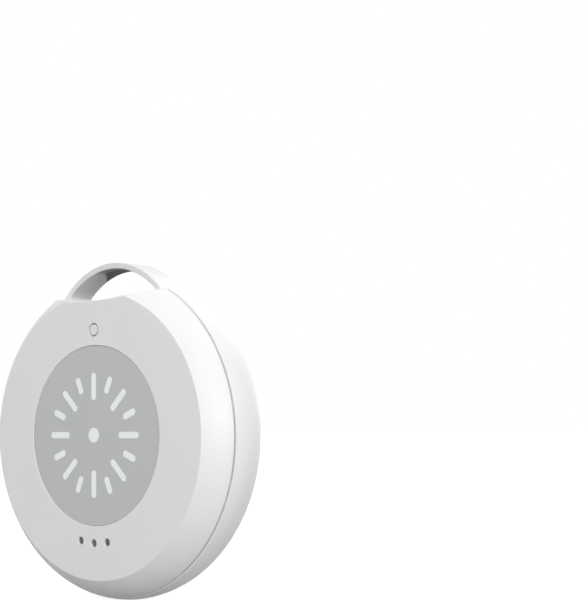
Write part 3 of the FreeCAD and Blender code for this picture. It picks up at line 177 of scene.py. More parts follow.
def scooped_depths(on_arc, on_hollow):
    """A depth for each point of that outline, blended round its two corners."""
    rise = [on_arc + (on_hollow - on_arc) * place / CORNER_POINTS for place in range(CORNER_POINTS)]
    return [on_arc] * ARC_POINTS + rise + [on_hollow] * (HOLLOW_POINTS + 1) + rise[:0:-1]


def between(first, last, steps):
    """Evenly spaced values, both ends included."""
    return [first + (last - first) * step / steps for step in range(steps + 1)]


print("points in the case's outline:", len(scooped(RIM_RADIUS)))

# %% [markdown]
# ## A skin of lines
# A skin joins lines with the same number of points by quads, and fills a flat region between
# an outer line and the holes in it. The quads stay even, so smooth shading has no dents. The
# finished mesh has every edge shared by two faces, which is counted as each piece is placed.

# %% The skin
SHARP_ANGLE = 32.0
MERGE_DISTANCE = 1e-7


class Skin:
    """A mesh built from closed lines, each a list of (x, z) points at a depth."""

    def __init__(self):
        self.mesh = bmesh.new()

    def line(self, points, depth):
        """Place a closed line; depth is one number or one for each point."""
        depths = depth if isinstance(depth, list) else [depth] * len(points)
        return [self.mesh.verts.new((x * MM, (FACE_PLANE + deep) * MM, z * MM))
                for (x, z), deep in zip(points, depths)]

    def join(self, lines):
        """Quads between each line and the next, which has as many points."""
        for first, second in zip(lines, lines[1:]):
            for place, vert in enumerate(first):
                after = (place + 1) % len(first)
                self.mesh.faces.new((vert, first[after], second[after], second[place]))

    def stack(self, levels):
        """Join a list of (points, depth) in turn and return all its lines."""
        lines = [self.line(points, depth) for points, depth in levels]
        self.join(lines)
        return lines

    def fill(self, *lines):
        """A flat region between an outer line and the holes in it."""
        edges = []
        for line in lines:
            for place, vert in enumerate(line):
                ends = (vert, line[(place + 1) % len(line)])
                edges.append(self.mesh.edges.get(ends) or self.mesh.edges.new(ends))
        bmesh.ops.triangle_fill(self.mesh, edges=edges, use_beauty=True)

    def solid(self, levels):
        """A stack that is filled at both ends."""
        lines = self.stack(levels)
        self.fill(lines[0])
        self.fill(lines[-1])

    def data(self):
        """The mesh, with its faces outwards."""
        bmesh.ops.remove_doubles(self.mesh, verts=self.mesh.verts, dist=MERGE_DISTANCE)
        bmesh.ops.recalc_face_normals(self.mesh, faces=self.mesh.faces)
        data = bpy.data.meshes.new("skin")
        self.mesh.to_mesh(data)
        self.mesh.free()
        return data


def open_edges(data):
    """How many edges don't have exactly two faces."""
    uses = {}
    for polygon in data.polygons:
        for key in polygon.edge_keys:
            uses[key] = uses.get(key, 0) + 1
    return sum(1 for count in uses.values() if count != 2)


def put(name, data):
    """A new object in the scene."""
    item = bpy.data.objects.new(name, data)
    bpy.context.scene.collection.objects.link(item)
    return item


def place_piece(data, node, material, body="case", name=None):
    """Make the object from its mesh, shade it, and let it ride on a body and stand for a node."""
    data.name = name or node + "_skin"
    data.shade_smooth()
    data.set_sharp_from_angle(angle=math.radians(SHARP_ANGLE))
    data.materials.clear()
    data.materials.append(material)
    piece = put(data.name, data)
    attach(piece, body)
    if node:
        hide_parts(node)
    print("%-24s %6d faces, %d open edges" % (piece.name, len(data.polygons), open_edges(data)))
    return piece


# %% [markdown]
# ## Rounded rims and slabs
# Three kinds of edge return all the time: the rim of a hole in a flat region, the outer rim
# of a round piece, and the edge of a flat slab of any outline. Each is worked out once here.
# A rounded edge is a few close lines, and one more line just beside it on the flat keeps the
# flat region's normals straight. A slab's outline is drawn inwards along its own normals.

# %% Edges
EDGE_STEPS = 4
FLAT_RIM = 0.06
SHARPEST_MITRE = 0.3


def rounded(reach, depth, out, down):
    """(reach, depth) steps of a quarter round, from the flat at a depth to the side at a reach."""
    return [(reach + out * (1 - math.sin(turn)), depth + down * (1 - math.cos(turn)))
            for turn in between(0.0, math.pi / 2, EDGE_STEPS)]


def rings(across=0.0, up=0.0, count=CIRCLE_POINTS):
    """A function that draws a circle of any radius round one place."""
    return lambda radius: circle(radius, across, up, count)


def bore(skin, outline, edge, start, walls):
    """A hole with a rounded rim in a flat region; its walls are (radius, depth) steps."""
    radius, end = walls[0]
    rim = rounded(radius, start, edge, edge if end > start else -edge)
    steps = [(radius + edge + FLAT_RIM, start)] + rim + walls
    return skin.stack([(outline(radius), depth) for radius, depth in steps])


def rim_steps(radius, front, back, edge):
    """(radius, depth) steps of a turned piece with a rounded front rim."""
    return [(radius - edge - FLAT_RIM, front)] + rounded(radius, front, -edge, edge) + [(radius, back)]


def turned(steps, across=0.0, up=0.0, count=CIRCLE_POINTS):
    """Levels of a piece turned on a lathe, from (radius, depth) steps."""
    return [(circle(radius, across, up, count), depth) for radius, depth in steps]


def inset(points, distance):
    """A closed line drawn inwards by a distance, along its corners' mitres."""
    count = len(points)
    area = sum(points[place - 1][0] * points[place][1] - points[place][0] * points[place - 1][1]
               for place in range(count))
    side = 1 if area > 0 else -1
    drawn = []
    for place, (x, z) in enumerate(points):
        here = Vector((x, z))
        first = (here - Vector(points[place - 1])).normalized()
        second = (Vector(points[(place + 1) % count]) - here).normalized()
        normal = Vector((-first.y - second.y, first.x + second.x)) * side
        normal /= max(1.0 + first.dot(second), SHARPEST_MITRE)
        drawn.append((x + normal.x * distance, z + normal.y * distance))
    return drawn


def slab(points, front, back, edge):
    """Levels of a flat piece with rounded edges, from its front face to its back face."""
    steps = [(edge + FLAT_RIM, front)] + rounded(0.0, front, edge, edge)
    steps += rounded(0.0, back, edge, -edge)[::-1] + [(edge + FLAT_RIM, back)]
    return [(inset(points, distance), depth) for distance, depth in steps]


def solids(*parts):
    """One mesh of closed solids, each given by its levels."""
    skin = Skin()
    for levels in parts:
        skin.solid(levels)
    return skin.data()


print("an edge is rounded in", EDGE_STEPS, "steps")

# %% [markdown]
# ## Node helpers
# Materials and Geometry Nodes are both trees of nodes, so one helper adds a node to either
# and feeds its inputs with links or plain values. A few more stand for the nodes that are
# used most: noise, a value moved to another range, arithmetic and a mix of two colours.

# %% Node helpers
def feed(tree, socket, value):
    """Link another socket to an input, or write a plain value there."""
    if hasattr(value, "is_linked"):
        tree.links.new(value, socket)
    else:
        socket.default_value = value


def feed_all(tree, node, sockets):
    """Feed a node's named inputs."""
    for label, value in sockets.items():
        feed(tree, node.inputs[label], value)


def add(tree, kind, sockets=None, **settings):
    """A node with its settings and with its named inputs fed."""
    node = tree.nodes.new(kind)
    for label, value in settings.items():
        setattr(node, label, value)
    feed_all(tree, node, sockets or {})
    return node


def grey(level):
    """A neutral colour."""
    return (level, level, level, 1.0)


def axes_of(tree, place):
    """The X, Y and Z of a place."""
    return add(tree, "ShaderNodeSeparateXYZ", {"Vector": place}).outputs


def noise(tree, place, scale, detail=2.0):
    """A noise texture read at a place."""
    return add(tree, "ShaderNodeTexNoise", {"Vector": place, "Scale": scale, "Detail": detail}).outputs["Fac"]


def stretch(tree, value, low, high, new_low, new_high):
    """A value moved from one range to another, without going past it."""
    return add(tree, "ShaderNodeMapRange", {"Value": value, "From Min": low, "From Max": high,
                                            "To Min": new_low, "To Max": new_high}).outputs["Result"]


def arithmetic(tree, operation, *values):
    """One Math node."""
    node = add(tree, "ShaderNodeMath", operation=operation)
    for socket, value in zip(node.inputs, values):
        feed(tree, socket, value)
    return node.outputs["Value"]


def plus(tree, first, second):
    """The sum of two values."""
    return arithmetic(tree, "ADD", first, second)


def minus(tree, first, second):
    """The difference of two values."""
    return arithmetic(tree, "SUBTRACT", first, second)


def times(tree, first, second):
    """The product of two values."""
    return arithmetic(tree, "MULTIPLY", first, second)


def mixed_colour(tree, factor, first, second):
    """One colour turning into another; inputs 6 and 7 and output 2 are the colours' own."""
    node = add(tree, "ShaderNodeMix", {"Factor": factor}, data_type="RGBA")
    feed(tree, node.inputs[6], first)
    feed(tree, node.inputs[7], second)
    return node.outputs[2]


print("node helpers are ready")

# %% [markdown]
# ## Grain and streaks
# A moulded surface isn't perfectly smooth: the mould is spark eroded, which leaves a fine
# even grain, and the plastic's gloss drifts a little. Metal has drawn or rolled streaks. The
# effects are node groups with named inputs, so each finish places them with its own values.
# They read Object coordinates, which are the frame's own, so nothing slides.

# %% Grain and streaks
COLOUR_DRIFT = 0.02
GRAIN_SCALE = 5200.0
GRAIN_DETAIL = 3.0
BROAD_SCALE = 90.0
STREAK_STRETCH = (0.04, 1.0, 1.0)
NOISE_RANGE = (0.3, 0.7)
GLOSS = [("Low Roughness", 0.4), ("High Roughness", 0.5)]


def effect_group(name, inputs):
    """An empty group with named inputs that will put out colour, roughness and height."""
    group = bpy.data.node_groups.new(name, "ShaderNodeTree")
    for label, value in inputs:
        kind = "NodeSocketColor" if isinstance(value, tuple) else "NodeSocketFloat"
        group.interface.new_socket(label, in_out="INPUT", socket_type=kind).default_value = value
    for label, kind in (("Color", "Color"), ("Roughness", "Float"), ("Height", "Float")):
        group.interface.new_socket(label, in_out="OUTPUT", socket_type="NodeSocket" + kind)
    place = add(group, "ShaderNodeTexCoord").outputs["Object"]
    return group, add(group, "NodeGroupInput").outputs, place


def put_out(group, colour, roughness, height):
    """Close a group by feeding its outputs."""
    add(group, "NodeGroupOutput", {"Color": colour, "Roughness": roughness, "Height": height})
    return group


def tint(group, colour, amount, factor):
    """A colour made darker by up to an amount, where a noise is low."""
    gain = stretch(group, factor, *NOISE_RANGE, minus(group, 1.0, amount), 1.0)
    return add(group, "ShaderNodeHueSaturation", {"Color": colour, "Value": gain}).outputs["Color"]


def make_grain_group():
    """Spark-eroded grain: a fine height, a drifting gloss and a faint drift of colour."""
    group, given, place = effect_group("moulded_grain", [
        ("Color", grey(0.8)), ("Drift", COLOUR_DRIFT), ("Scale", GRAIN_SCALE)] + GLOSS)
    fine = noise(group, place, given["Scale"], GRAIN_DETAIL)
    colour = tint(group, given["Color"], given["Drift"], noise(group, place, BROAD_SCALE))
    gloss = stretch(group, fine, *NOISE_RANGE, given["Low Roughness"], given["High Roughness"])
    return put_out(group, colour, gloss, fine)


def make_streak_group():
    """Rolled or drawn metal: streaks along X, in height, gloss and colour."""
    group, given, place = effect_group("metal_streaks", [
        ("Color", grey(0.7)), ("Drift", COLOUR_DRIFT), ("Scale", GRAIN_SCALE)] + GLOSS)
    along = add(group, "ShaderNodeMapping", {"Vector": place, "Scale": STREAK_STRETCH}).outputs["Vector"]
    streak = noise(group, along, given["Scale"])
    colour = tint(group, given["Color"], given["Drift"], streak)
    gloss = stretch(group, streak, *NOISE_RANGE, given["Low Roughness"], given["High Roughness"])
    return put_out(group, colour, gloss, streak)


GRAIN = make_grain_group()
STREAKS = make_streak_group()
print("shader groups:", GRAIN.name, STREAKS.name)

# %% [markdown]
# ## Woven wires
# The dust mesh is a plain weave: each wire passes over one neighbour and under the next. Two
# sines along X and Z are the wires, and their product lifts one and lowers the other in turn.
# The higher of the two shows, and the gaps between them are darker.

# %% The weave
WEAVE_PITCH = 0.00016
WEAVE_GAP = 0.004
WIRE_LIFT = 0.5
WIRE_EDGE = (0.45, 0.9)
WIRE_GLOSS = (0.3, 1.0)


def make_weave_group():
    """A plain weave of fine wires that run along X and Z and pass over and under."""
    group, given, place = effect_group("woven_wires", [
        ("Color", grey(0.05)), ("Gap Color", grey(WEAVE_GAP)), ("Pitch", WEAVE_PITCH)] + GLOSS)
    axes = axes_of(group, place)
    first, second = [arithmetic(group, "SINE", times(group, arithmetic(
        group, "DIVIDE", axes[axis], given["Pitch"]), math.pi)) for axis in ("X", "Z")]
    over = times(group, times(group, first, second), WIRE_LIFT)
    upright = minus(group, arithmetic(group, "ABSOLUTE", first), over)
    level = plus(group, arithmetic(group, "ABSOLUTE", second), over)
    wires = arithmetic(group, "MAXIMUM", upright, level)
    shade = stretch(group, wires, *WIRE_EDGE, 0.0, 1.0)
    colour = mixed_colour(group, shade, given["Gap Color"], given["Color"])
    gloss = stretch(group, wires, *WIRE_GLOSS, given["High Roughness"], given["Low Roughness"])
    return put_out(group, colour, gloss, wires)


WEAVE = make_weave_group()
print("shader group:", WEAVE.name)

# %% [markdown]
# ## One way to make a finish
# Each finish is a Principled shader that a group feeds with colour, roughness and a height
# for the bump. Numbers that are the same all over the surface, such as metal, are set on the
# shader itself. Colours are written as linear values, close to what a camera measures.

# %% The finishes
def finish(name, colour, rough=(0.4, 0.5), group=GRAIN, scale=GRAIN_SCALE, bump=0.004, metallic=0.0):
    """A material whose colour, roughness and bump come from one of the groups."""
    material = bpy.data.materials.new(name)
    material.use_nodes = True
    tree = material.node_tree
    effect = add(tree, "ShaderNodeGroup", node_tree=group)
    feed_all(tree, effect, {"Color": (*colour, 1.0), "Low Roughness": rough[0], "High Roughness": rough[1]})
    if "Scale" in effect.inputs:
        effect.inputs["Scale"].default_value = scale
    made = effect.outputs
    relief = add(tree, "ShaderNodeBump", {"Distance": bump * MM, "Height": made["Height"]})
    feed_all(tree, tree.nodes["Principled BSDF"], {
        "Base Color": made["Color"], "Roughness": made["Roughness"], "Normal": relief.outputs["Normal"],
        "Metallic": metallic})
    return material


def metal(name, colour, rough=(0.4, 0.5)):
    """A metal finish with drawn streaks."""
    return finish(name, colour, rough, STREAKS, metallic=1.0)


WHITE_SHELL = finish("white_shell_plastic", (0.80, 0.80, 0.80), (0.42, 0.5))
WHITE_DOOR = finish("white_door_plastic", (0.80, 0.80, 0.80), (0.42, 0.52))
LOOP_PLASTIC = finish("loop_plastic", (0.72, 0.72, 0.72), (0.38, 0.46))
GREY_INLAY = finish("grey_inlay_plastic", (0.535, 0.55, 0.53), (0.42, 0.52))
WHITE_INK = finish("white_ink", (0.93, 0.95, 0.96), (0.45, 0.55))
MILKY_GUIDE = finish("milky_light_guide", (0.79, 0.79, 0.79), (0.25, 0.35), bump=0.002)
PLUNGER_ACETAL = finish("plunger_acetal", (0.78, 0.78, 0.76), (0.3, 0.4))
PAD_FOAM = finish("pad_foam", (0.78, 0.78, 0.75), (0.75, 0.9), scale=2600.0, bump=0.03)
CLEAR_TAPE = finish("adhesive_film", (0.72, 0.72, 0.66), (0.3, 0.45))
LED_RESIN = finish("led_resin", (0.9, 0.87, 0.7), (0.15, 0.25))
BLACK_RUBBER = finish("black_rubber", (0.025, 0.025, 0.025), (0.6, 0.75))
CHIP_BLACK = finish("chip_epoxy", (0.02, 0.02, 0.022), (0.5, 0.65))
TANTALUM = finish("capacitor_epoxy", (0.62, 0.33, 0.05))
SOLDER_MASK = finish("green_solder_mask", (0.015, 0.14, 0.06), (0.25, 0.4))
LEAD_JACKET = finish("lead_insulation", (0.35, 0.02, 0.02))
CERAMIC = finish("silvered_ceramic", (0.78, 0.77, 0.72), (0.3, 0.45))
DARK_MESH = finish("dark_mesh", (0.17, 0.17, 0.172), (0.45, 0.65), WEAVE, bump=0.03)
TIN_CAN = metal("tinned_can", (0.72, 0.72, 0.73))
SPRING_STEEL = metal("plated_spring", (0.7, 0.7, 0.68), (0.2, 0.3))
CELL_STEEL = metal("nickel_cell_can", (0.72, 0.72, 0.73))
SCREW_STEEL = metal("zinc_screw", (0.6, 0.6, 0.6), (0.28, 0.42))
BRASS = metal("rolled_brass", (0.75, 0.52, 0.2))
print("finishes made; materials in the file:", len(bpy.data.materials))

# %% [markdown]
# ## The case's side
# Both covers share one side: an arc from the face to the widest line, and another from there
# to the back. A level is the case's outline at a depth, so it is as wide as the side is
# there. The flat face and back turn into the side by a round that touches both.

# %% Levels of the side
INSIDE_CORNER = 0.3


def side_radius(depth, inwards=0.0):
    """Radius of the case's side at a depth, or of the surface that lies inside it."""
    bend = FRONT_ROUND if depth < BELLY_DEPTH else BACK_ROUND
    return RIM_RADIUS - bend + math.sqrt((bend - inwards) ** 2 - (depth - BELLY_DEPTH) ** 2)


def flat_to_side(bend, depth, edge, towards):
    """Levels that round the flat face or back into the arc of the side."""
    reach = abs(depth + towards * edge - BELLY_DEPTH)
    middle = RIM_RADIUS - bend + math.sqrt((bend - edge) ** 2 - reach ** 2)
    lean = math.atan2(middle - (RIM_RADIUS - bend), reach)
    levels = [(scooped(middle - FLAT_RIM, SCOOP_RADIUS + edge + FLAT_RIM), depth)]
    for share in between(0.0, 1.0, EDGE_STEPS):
        on_arc = lean * share
        on_hollow = math.pi / 2 * share
        outline = scooped(middle + edge * math.sin(on_arc), SCOOP_RADIUS + edge * (1 - math.sin(on_hollow)))
        depths = [depth + towards * edge * (1 - math.cos(turn)) for turn in (on_arc, on_hollow)]
        levels.append((outline, scooped_depths(*depths)))
    return levels


def side_levels(depths):
    """Levels down the side of the case."""
    return [(scooped(side_radius(depth)), depth) for depth in depths]


def set_in(depth, distance):
    """The case's outline at a depth, drawn in from the side and from the hollow."""
    return scooped(side_radius(depth) - distance, SCOOP_RADIUS + distance)


def inner_levels(depths):
    """Levels down the inside of its wall."""
    return [(scooped(side_radius(depth, WALL), SCOOP_RADIUS + WALL, INSIDE_CORNER), depth)
            for depth in depths]


print("side radius at the parting plane: %.2f mm" % side_radius(SEAM_DEPTH))

# %% [markdown]
# ## The front shell
# The cover is one moulding: a flat face, a side that is one arc from the face to the parting
# line, a recess for the grey disc, a hole for the light guide and three sound holes. Behind
# the face stand four bosses with spigots for the board, a ring round the light guide and a
# frame round the microphone's rubber boot. It is built outside in, line by line, as one
# closed wall, so that the holes really go through it.

# %% Front shell
FACE_EDGE = 0.3
SEAM_EDGE = 0.1
HOLE_EDGE = 0.12
FRONT_STEPS = 12
FRONT_INNER_STEPS = 8
DISC_POINTS = 160
INLAY_RADIUS = node_box("inlay_disc")[1].x
RECESS_RADIUS = INLAY_RADIUS + 0.1
RECESS_DEPTH = node_depths("inlay_adhesive")[1]
LIGHT_UP = node_middle("light_guide").z
LIGHT_HOLE = 1.5
LIGHT_EDGE = 0.06
LIGHT_RING = (2.2, 3.0)
LIGHT_RING_TOP = WALL + 1.5
PORT_RADIUS = 0.85
PORT_CIRCLE = INLAY_RADIUS + 3.72
PORT_STEP = math.radians(10.0)
PORT_PLACES = [(PORT_CIRCLE * math.sin(PORT_STEP * step), -PORT_CIRCLE * math.cos(PORT_STEP * step))
               for step in (-1, 0, 1)]
PORT_SPREAD = PORT_CIRCLE * math.sin(PORT_STEP)
PORT_MIDDLE = node_middle("microphone_mesh").z
PORT_POINTS = 36
BOOT_FRAME = (3.35, 2.55)
BOOT_FRAME_TOP = WALL + 0.9
BOARD_FRONT, BOARD_BACK = node_depths("main_board")
HEAD_RADIUS = 1.9
SCREW_ACROSS = node_box("case_screws")[1].x - HEAD_RADIUS
SCREW_PLACES = [(SCREW_ACROSS * side, SCREW_ACROSS * level) for side in (1, -1) for level in (1, -1)]
BOSS_RADIUS = 2.6
SPIGOT_RADIUS = 1.75
PILOT_RADIUS = 0.9
PILOT_END = 0.6


def build_front_shell():
    """The closed wall of the front cover."""
    skin = Skin()
    outside = flat_to_side(FRONT_ROUND, 0.0, FACE_EDGE, 1)
    outside += side_levels(between(FACE_EDGE, SEAM_DEPTH - SEAM_EDGE, FRONT_STEPS)[1:])
    outside += [(set_in(SEAM_DEPTH, SEAM_EDGE), SEAM_DEPTH)]
    walls = skin.stack(outside + inner_levels(between(SEAM_DEPTH, WALL, FRONT_INNER_STEPS)))

    recess = bore(skin, rings(count=DISC_POINTS), HOLE_EDGE, 0.0, [(RECESS_RADIUS, RECESS_DEPTH)])
    skin.fill(recess[-1])
    inner, outer = LIGHT_RING
    light = bore(skin, rings(0.0, LIGHT_UP), LIGHT_EDGE, 0.0, [
        (LIGHT_HOLE, WALL), (inner, WALL), (inner, LIGHT_RING_TOP), (outer, LIGHT_RING_TOP),
        (outer, WALL)])
    outer, inner = BOOT_FRAME
    boot = skin.stack([(slot(PORT_SPREAD, radius, PORT_MIDDLE), depth) for radius, depth in (
        (outer, WALL), (outer, BOOT_FRAME_TOP), (inner, BOOT_FRAME_TOP), (inner, WALL))])
    ports = [bore(skin, rings(across, up, PORT_POINTS), HOLE_EDGE, 0.0, [(PORT_RADIUS, WALL)])
             for across, up in PORT_PLACES]
    skin.fill(boot[-1], *[port[-1] for port in ports])

    back_holes = [light[-1], boot[0]]
    for place in SCREW_PLACES:
        boss = skin.stack(turned([
            (BOSS_RADIUS, WALL), (BOSS_RADIUS, BOARD_FRONT), (SPIGOT_RADIUS, BOARD_FRONT),
            (SPIGOT_RADIUS, BOARD_BACK), (PILOT_RADIUS, BOARD_BACK), (PILOT_RADIUS, PILOT_END)], *place))
        back_holes.append(boss[0])
        skin.fill(boss[-1])
    skin.fill(walls[0], recess[0], light[0], *[port[0] for port in ports])
    skin.fill(walls[-1], *back_holes)
    return skin.data()


place_piece(build_front_shell(), "front_shell", WHITE_SHELL)

# %% [markdown]
# ## The rear shell
# The rear cover carries on the same side line, after a shadow line at the parting plane. A
# lip enters the front cover, four tubes take the screws, a guide carries the tamper plunger,
# and a round well with a stepped mouth takes the coin cell and its door. The two legs of the
# hang loop stand in slots, which are cut once the loop itself is drawn.

# %% Rear shell
GROOVE_WIDTH = 0.5
GROOVE_CUT = 0.95
BACK_EDGE = 0.8
REAR_STEPS = 26
REAR_INNER_STEPS = 14
LIP_GAP = 0.1
LIP_THICKNESS = 1.2
LIP_TIP = SEAM_DEPTH - 1.2
LIP_ROOT = SEAM_DEPTH + 1.5
LIP_RADIUS = side_radius(LIP_TIP, WALL) - LIP_GAP
DOOR_RADIUS = node_box("battery_door")[1].x
DOOR_GAP = 0.25
DOOR_SEAT = CASE_DEPTH - 1.15
DOOR_POINTS = 128
MOUTH_EDGE = 0.2
LEDGE_RADIUS = 13.25
CHANNEL_RADIUS = 14.8
CHANNEL_OUTSIDE = 16.0
WELL_RADIUS = 12.55
WELL_OUTSIDE = WELL_RADIUS + 1.2
WELL_TOP = node_depths("battery")[0] + 0.8
WELL_MOUTH = node_depths("battery")[1]
WELL_LEDGE = WELL_MOUTH - 0.2
CHANNEL_START = WELL_MOUTH - 1.2
WELL_SLOPE_START = WELL_MOUTH - 2.4
HEAD_HOLE = 2.1
HEAD_HEIGHT = 1.3
HEAD_SEAT = node_depths("case_screws")[1] - HEAD_HEIGHT
SHANK_HOLE = 1.3
POST_RADIUS = 3.1
PLUNGER_UP = node_middle("tamper_plunger").z
PLUNGER_BORE = 1.58
PLUNGER_POST = 2.88
GUIDE_TOP = BACK_INSIDE - 3.3


def build_rear_shell():
    """The closed wall of the rear cover, before the loop's slots are cut."""
    skin = Skin()
    groove = set_in(SEAM_DEPTH, GROOVE_CUT)
    groove_end = SEAM_DEPTH + GROOVE_WIDTH
    outside = [(groove, SEAM_DEPTH), (groove, groove_end), (set_in(groove_end, SEAM_EDGE), groove_end)]
    outside += side_levels(between(groove_end + SEAM_EDGE, CASE_DEPTH - BACK_EDGE, REAR_STEPS)[:-1])
    outside += flat_to_side(BACK_ROUND, CASE_DEPTH, BACK_EDGE, -1)[::-1]
    inside = inner_levels(between(LIP_ROOT, BACK_INSIDE, REAR_INNER_STEPS))[::-1]
    hollow = SCOOP_RADIUS + WALL + LIP_GAP
    lip_inner = scooped(LIP_RADIUS - LIP_THICKNESS, hollow + LIP_THICKNESS, INSIDE_CORNER)
    lip_outer = scooped(LIP_RADIUS, hollow, INSIDE_CORNER)
    lip = [(lip_inner, LIP_ROOT), (lip_inner, LIP_TIP), (lip_outer, LIP_TIP), (lip_outer, SEAM_DEPTH)]
    walls = skin.stack(inside + lip + outside)

    holes = [bore(skin, rings(count=DOOR_POINTS), MOUTH_EDGE, CASE_DEPTH, [
        (DOOR_RADIUS + DOOR_GAP, DOOR_SEAT), (LEDGE_RADIUS, DOOR_SEAT), (LEDGE_RADIUS, BACK_INSIDE),
        (CHANNEL_RADIUS, BACK_INSIDE), (CHANNEL_RADIUS, WELL_LEDGE), (WELL_RADIUS, WELL_LEDGE),
        (WELL_RADIUS, WELL_TOP), (WELL_OUTSIDE, WELL_TOP), (WELL_OUTSIDE, WELL_SLOPE_START),
        (CHANNEL_OUTSIDE, CHANNEL_START), (CHANNEL_OUTSIDE, BACK_INSIDE)])]
    for place in SCREW_PLACES:
        holes.append(bore(skin, rings(*place), HOLE_EDGE, CASE_DEPTH, [
            (HEAD_HOLE, HEAD_SEAT), (SHANK_HOLE, HEAD_SEAT), (SHANK_HOLE, BOARD_BACK),
            (POST_RADIUS, BOARD_BACK), (POST_RADIUS, BACK_INSIDE)]))
    holes.append(bore(skin, rings(0.0, PLUNGER_UP), HOLE_EDGE, CASE_DEPTH, [
        (PLUNGER_BORE, GUIDE_TOP), (PLUNGER_POST, GUIDE_TOP), (PLUNGER_POST, BACK_INSIDE)]))
    skin.fill(walls[-1], *[hole[0] for hole in holes])
    skin.fill(walls[0], *[hole[-1] for hole in holes])
    return skin.data()


rear_skin = build_rear_shell()
print("rear shell before its slots are cut:", len(rear_skin.polygons), "faces")

# %% [markdown]
# ## The hang loop
# The loop is one flexible moulding: an arch of two arcs whose legs go straight down through
# slots in the rear shell and end in small anchors, which the front shell traps. Its outline
# is drawn once, as a closed line, and is given its width and rounded edges as a slab.

# %% The loop's outline
LOOP_FRONT, LOOP_BACK = node_depths("hang_loop")
LOOP_OUTER = 19.73
LOOP_INNER = 18.88
LOOP_RISE = 8.66
LOOP_THICKNESS = 1.4
LOOP_OUTER_CENTRE = SCOOP_LOW + LOOP_RISE - LOOP_OUTER
LOOP_INNER_CENTRE = SCOOP_LOW + LOOP_RISE - LOOP_THICKNESS - LOOP_INNER
FOOT_HEIGHT = SCOOP_LOW + 1.86
FLARE_END = SCOOP_LOW + 0.93
FOOT_OUTER = math.sqrt(LOOP_OUTER ** 2 - (FOOT_HEIGHT - LOOP_OUTER_CENTRE) ** 2)
FOOT_INNER = math.sqrt(LOOP_INNER ** 2 - (FOOT_HEIGHT - LOOP_INNER_CENTRE) ** 2)
LEG_OUTER = FOOT_OUTER + 0.4
ANCHOR_REACH = 1.0
ANCHOR_BOTTOM = node_box("hang_loop")[0].z
ANCHOR_TOP = ANCHOR_BOTTOM + 1.2
LOOP_EDGE = 0.25
ARCH_STEPS = 72


def arch(radius, centre, foot):
    """Points over the top of an arc, from the right foot to the left one."""
    start = math.atan2(FOOT_HEIGHT - centre, foot)
    return [(radius * math.cos(turn), centre + radius * math.sin(turn))
            for turn in between(start, math.pi - start, ARCH_STEPS)]


def anchor(inner, outer, gap):
    """The end of a leg, from its outer side round the anchor to its inner side."""
    top = ANCHOR_TOP + gap
    bottom = ANCHOR_BOTTOM - gap
    return [(outer, top), (outer + ANCHOR_REACH, top), (outer + ANCHOR_REACH, bottom),
            (inner - ANCHOR_REACH, bottom), (inner - ANCHOR_REACH, top), (inner, top)]


def loop_outline():
    """The whole loop seen from the front, anticlockwise from the right foot."""
    over = arch(LOOP_OUTER, LOOP_OUTER_CENTRE, FOOT_OUTER)
    under = arch(LOOP_INNER, LOOP_INNER_CENTRE, FOOT_INNER)
    leg = [(LEG_OUTER, FLARE_END)] + anchor(FOOT_INNER, LEG_OUTER, 0.0)
    left = [(-across, up) for across, up in leg]
    return over + left + under[::-1] + leg[::-1]


print("points in the loop's outline:", len(loop_outline()))

# %% [markdown]
# ## Slots for the loop
# The slots run across the hollow's curved wall, where no even lines could follow them, so a
# boolean cuts them. The cutters are drawn with the legs' own numbers and a small clearance.
# With its slots cut, the rear shell is placed, and then the loop that stands in them.

# %% Slots and loop
SLOT_GAP = 0.1
SLOT_FRONT = SEAM_DEPTH - 0.5


def slot_levels(side):
    """The slot for one leg, as wide as the leg and its anchor and a clearance; open to the front."""
    inner = FOOT_INNER - SLOT_GAP
    outer = LEG_OUTER + SLOT_GAP
    points = [(inner, FOOT_HEIGHT + WALL), (outer, FOOT_HEIGHT + WALL)] + anchor(inner, outer, SLOT_GAP)
    outline = [(side * across, up) for across, up in points]
    return [(outline, SLOT_FRONT), (outline, LOOP_BACK + SLOT_GAP)]


def plain_mesh(item):
    """The mesh that an object's modifiers make; the modifiers and the object are used up."""
    bpy.context.view_layer.update()
    data = bpy.data.meshes.new_from_object(item.evaluated_get(bpy.context.evaluated_depsgraph_get()))
    item.modifiers.clear()
    bpy.data.objects.remove(item)
    return data


def boolean(data, cutter, operation):
    """A mesh cut by another, or joined with it."""
    target = put("boolean_target", data)
    tool = put("boolean_tool", cutter)
    step = target.modifiers.new("boolean", "BOOLEAN")
    step.object = tool
    step.operation = operation
    step.solver = "EXACT"
    result = plain_mesh(target)
    bpy.data.objects.remove(tool)
    return result


slotted = boolean(rear_skin, solids(slot_levels(1), slot_levels(-1)), "DIFFERENCE")
band = solids(slab(loop_outline(), LOOP_FRONT, LOOP_BACK, LOOP_EDGE))
place_piece(slotted, "rear_shell", WHITE_SHELL)
place_piece(band, "hang_loop", LOOP_PLASTIC, name="hang_loop_band")

# %% [markdown]
# ## Painted shade inside the loop
# The band's inner side is rougher than the rest, and its colour is darkened as painted shade.
# Under the crown, a painted shadow with a slanted, ragged edge is darker still. The loop's own
# material is told where the inner side is by its distance from the arc's centre, and three
# mixes darken it in steps.

# %% The loop's inner side
# The loop's own grey comes first. The other three are painted shade on the inner side, painted shade under
# the crown, and the painted shadow there.
BAND_GREY_AND_PAINTED_SHADES = (0.72, 0.47, 0.21, 0.085)
INNER_BLEND = (0.12, 0.02)
FOOT_BLEND = (-0.4, 1.4)
CROWN_BLEND = (3.6, 5.4)
PAINTED_SHADOW_BLEND = (2.0, 3.1)
PAINTED_SHADOW_DEPTHS = (1.7, 2.5)
PAINTED_SHADOW_SLANT = 0.9
PAINTED_SHADOW_RAGGED = 0.6
SHADOW_EDGE_SCALE = 500.0
EXTRA_ROUGHNESS = 0.5


def blend(tree, value, bounds, new_low, new_high, start=0.0):
    """A value's way from one bound to the other, in millimetres after a start."""
    return stretch(tree, value, (start + bounds[0]) * MM, (start + bounds[1]) * MM, new_low, new_high)


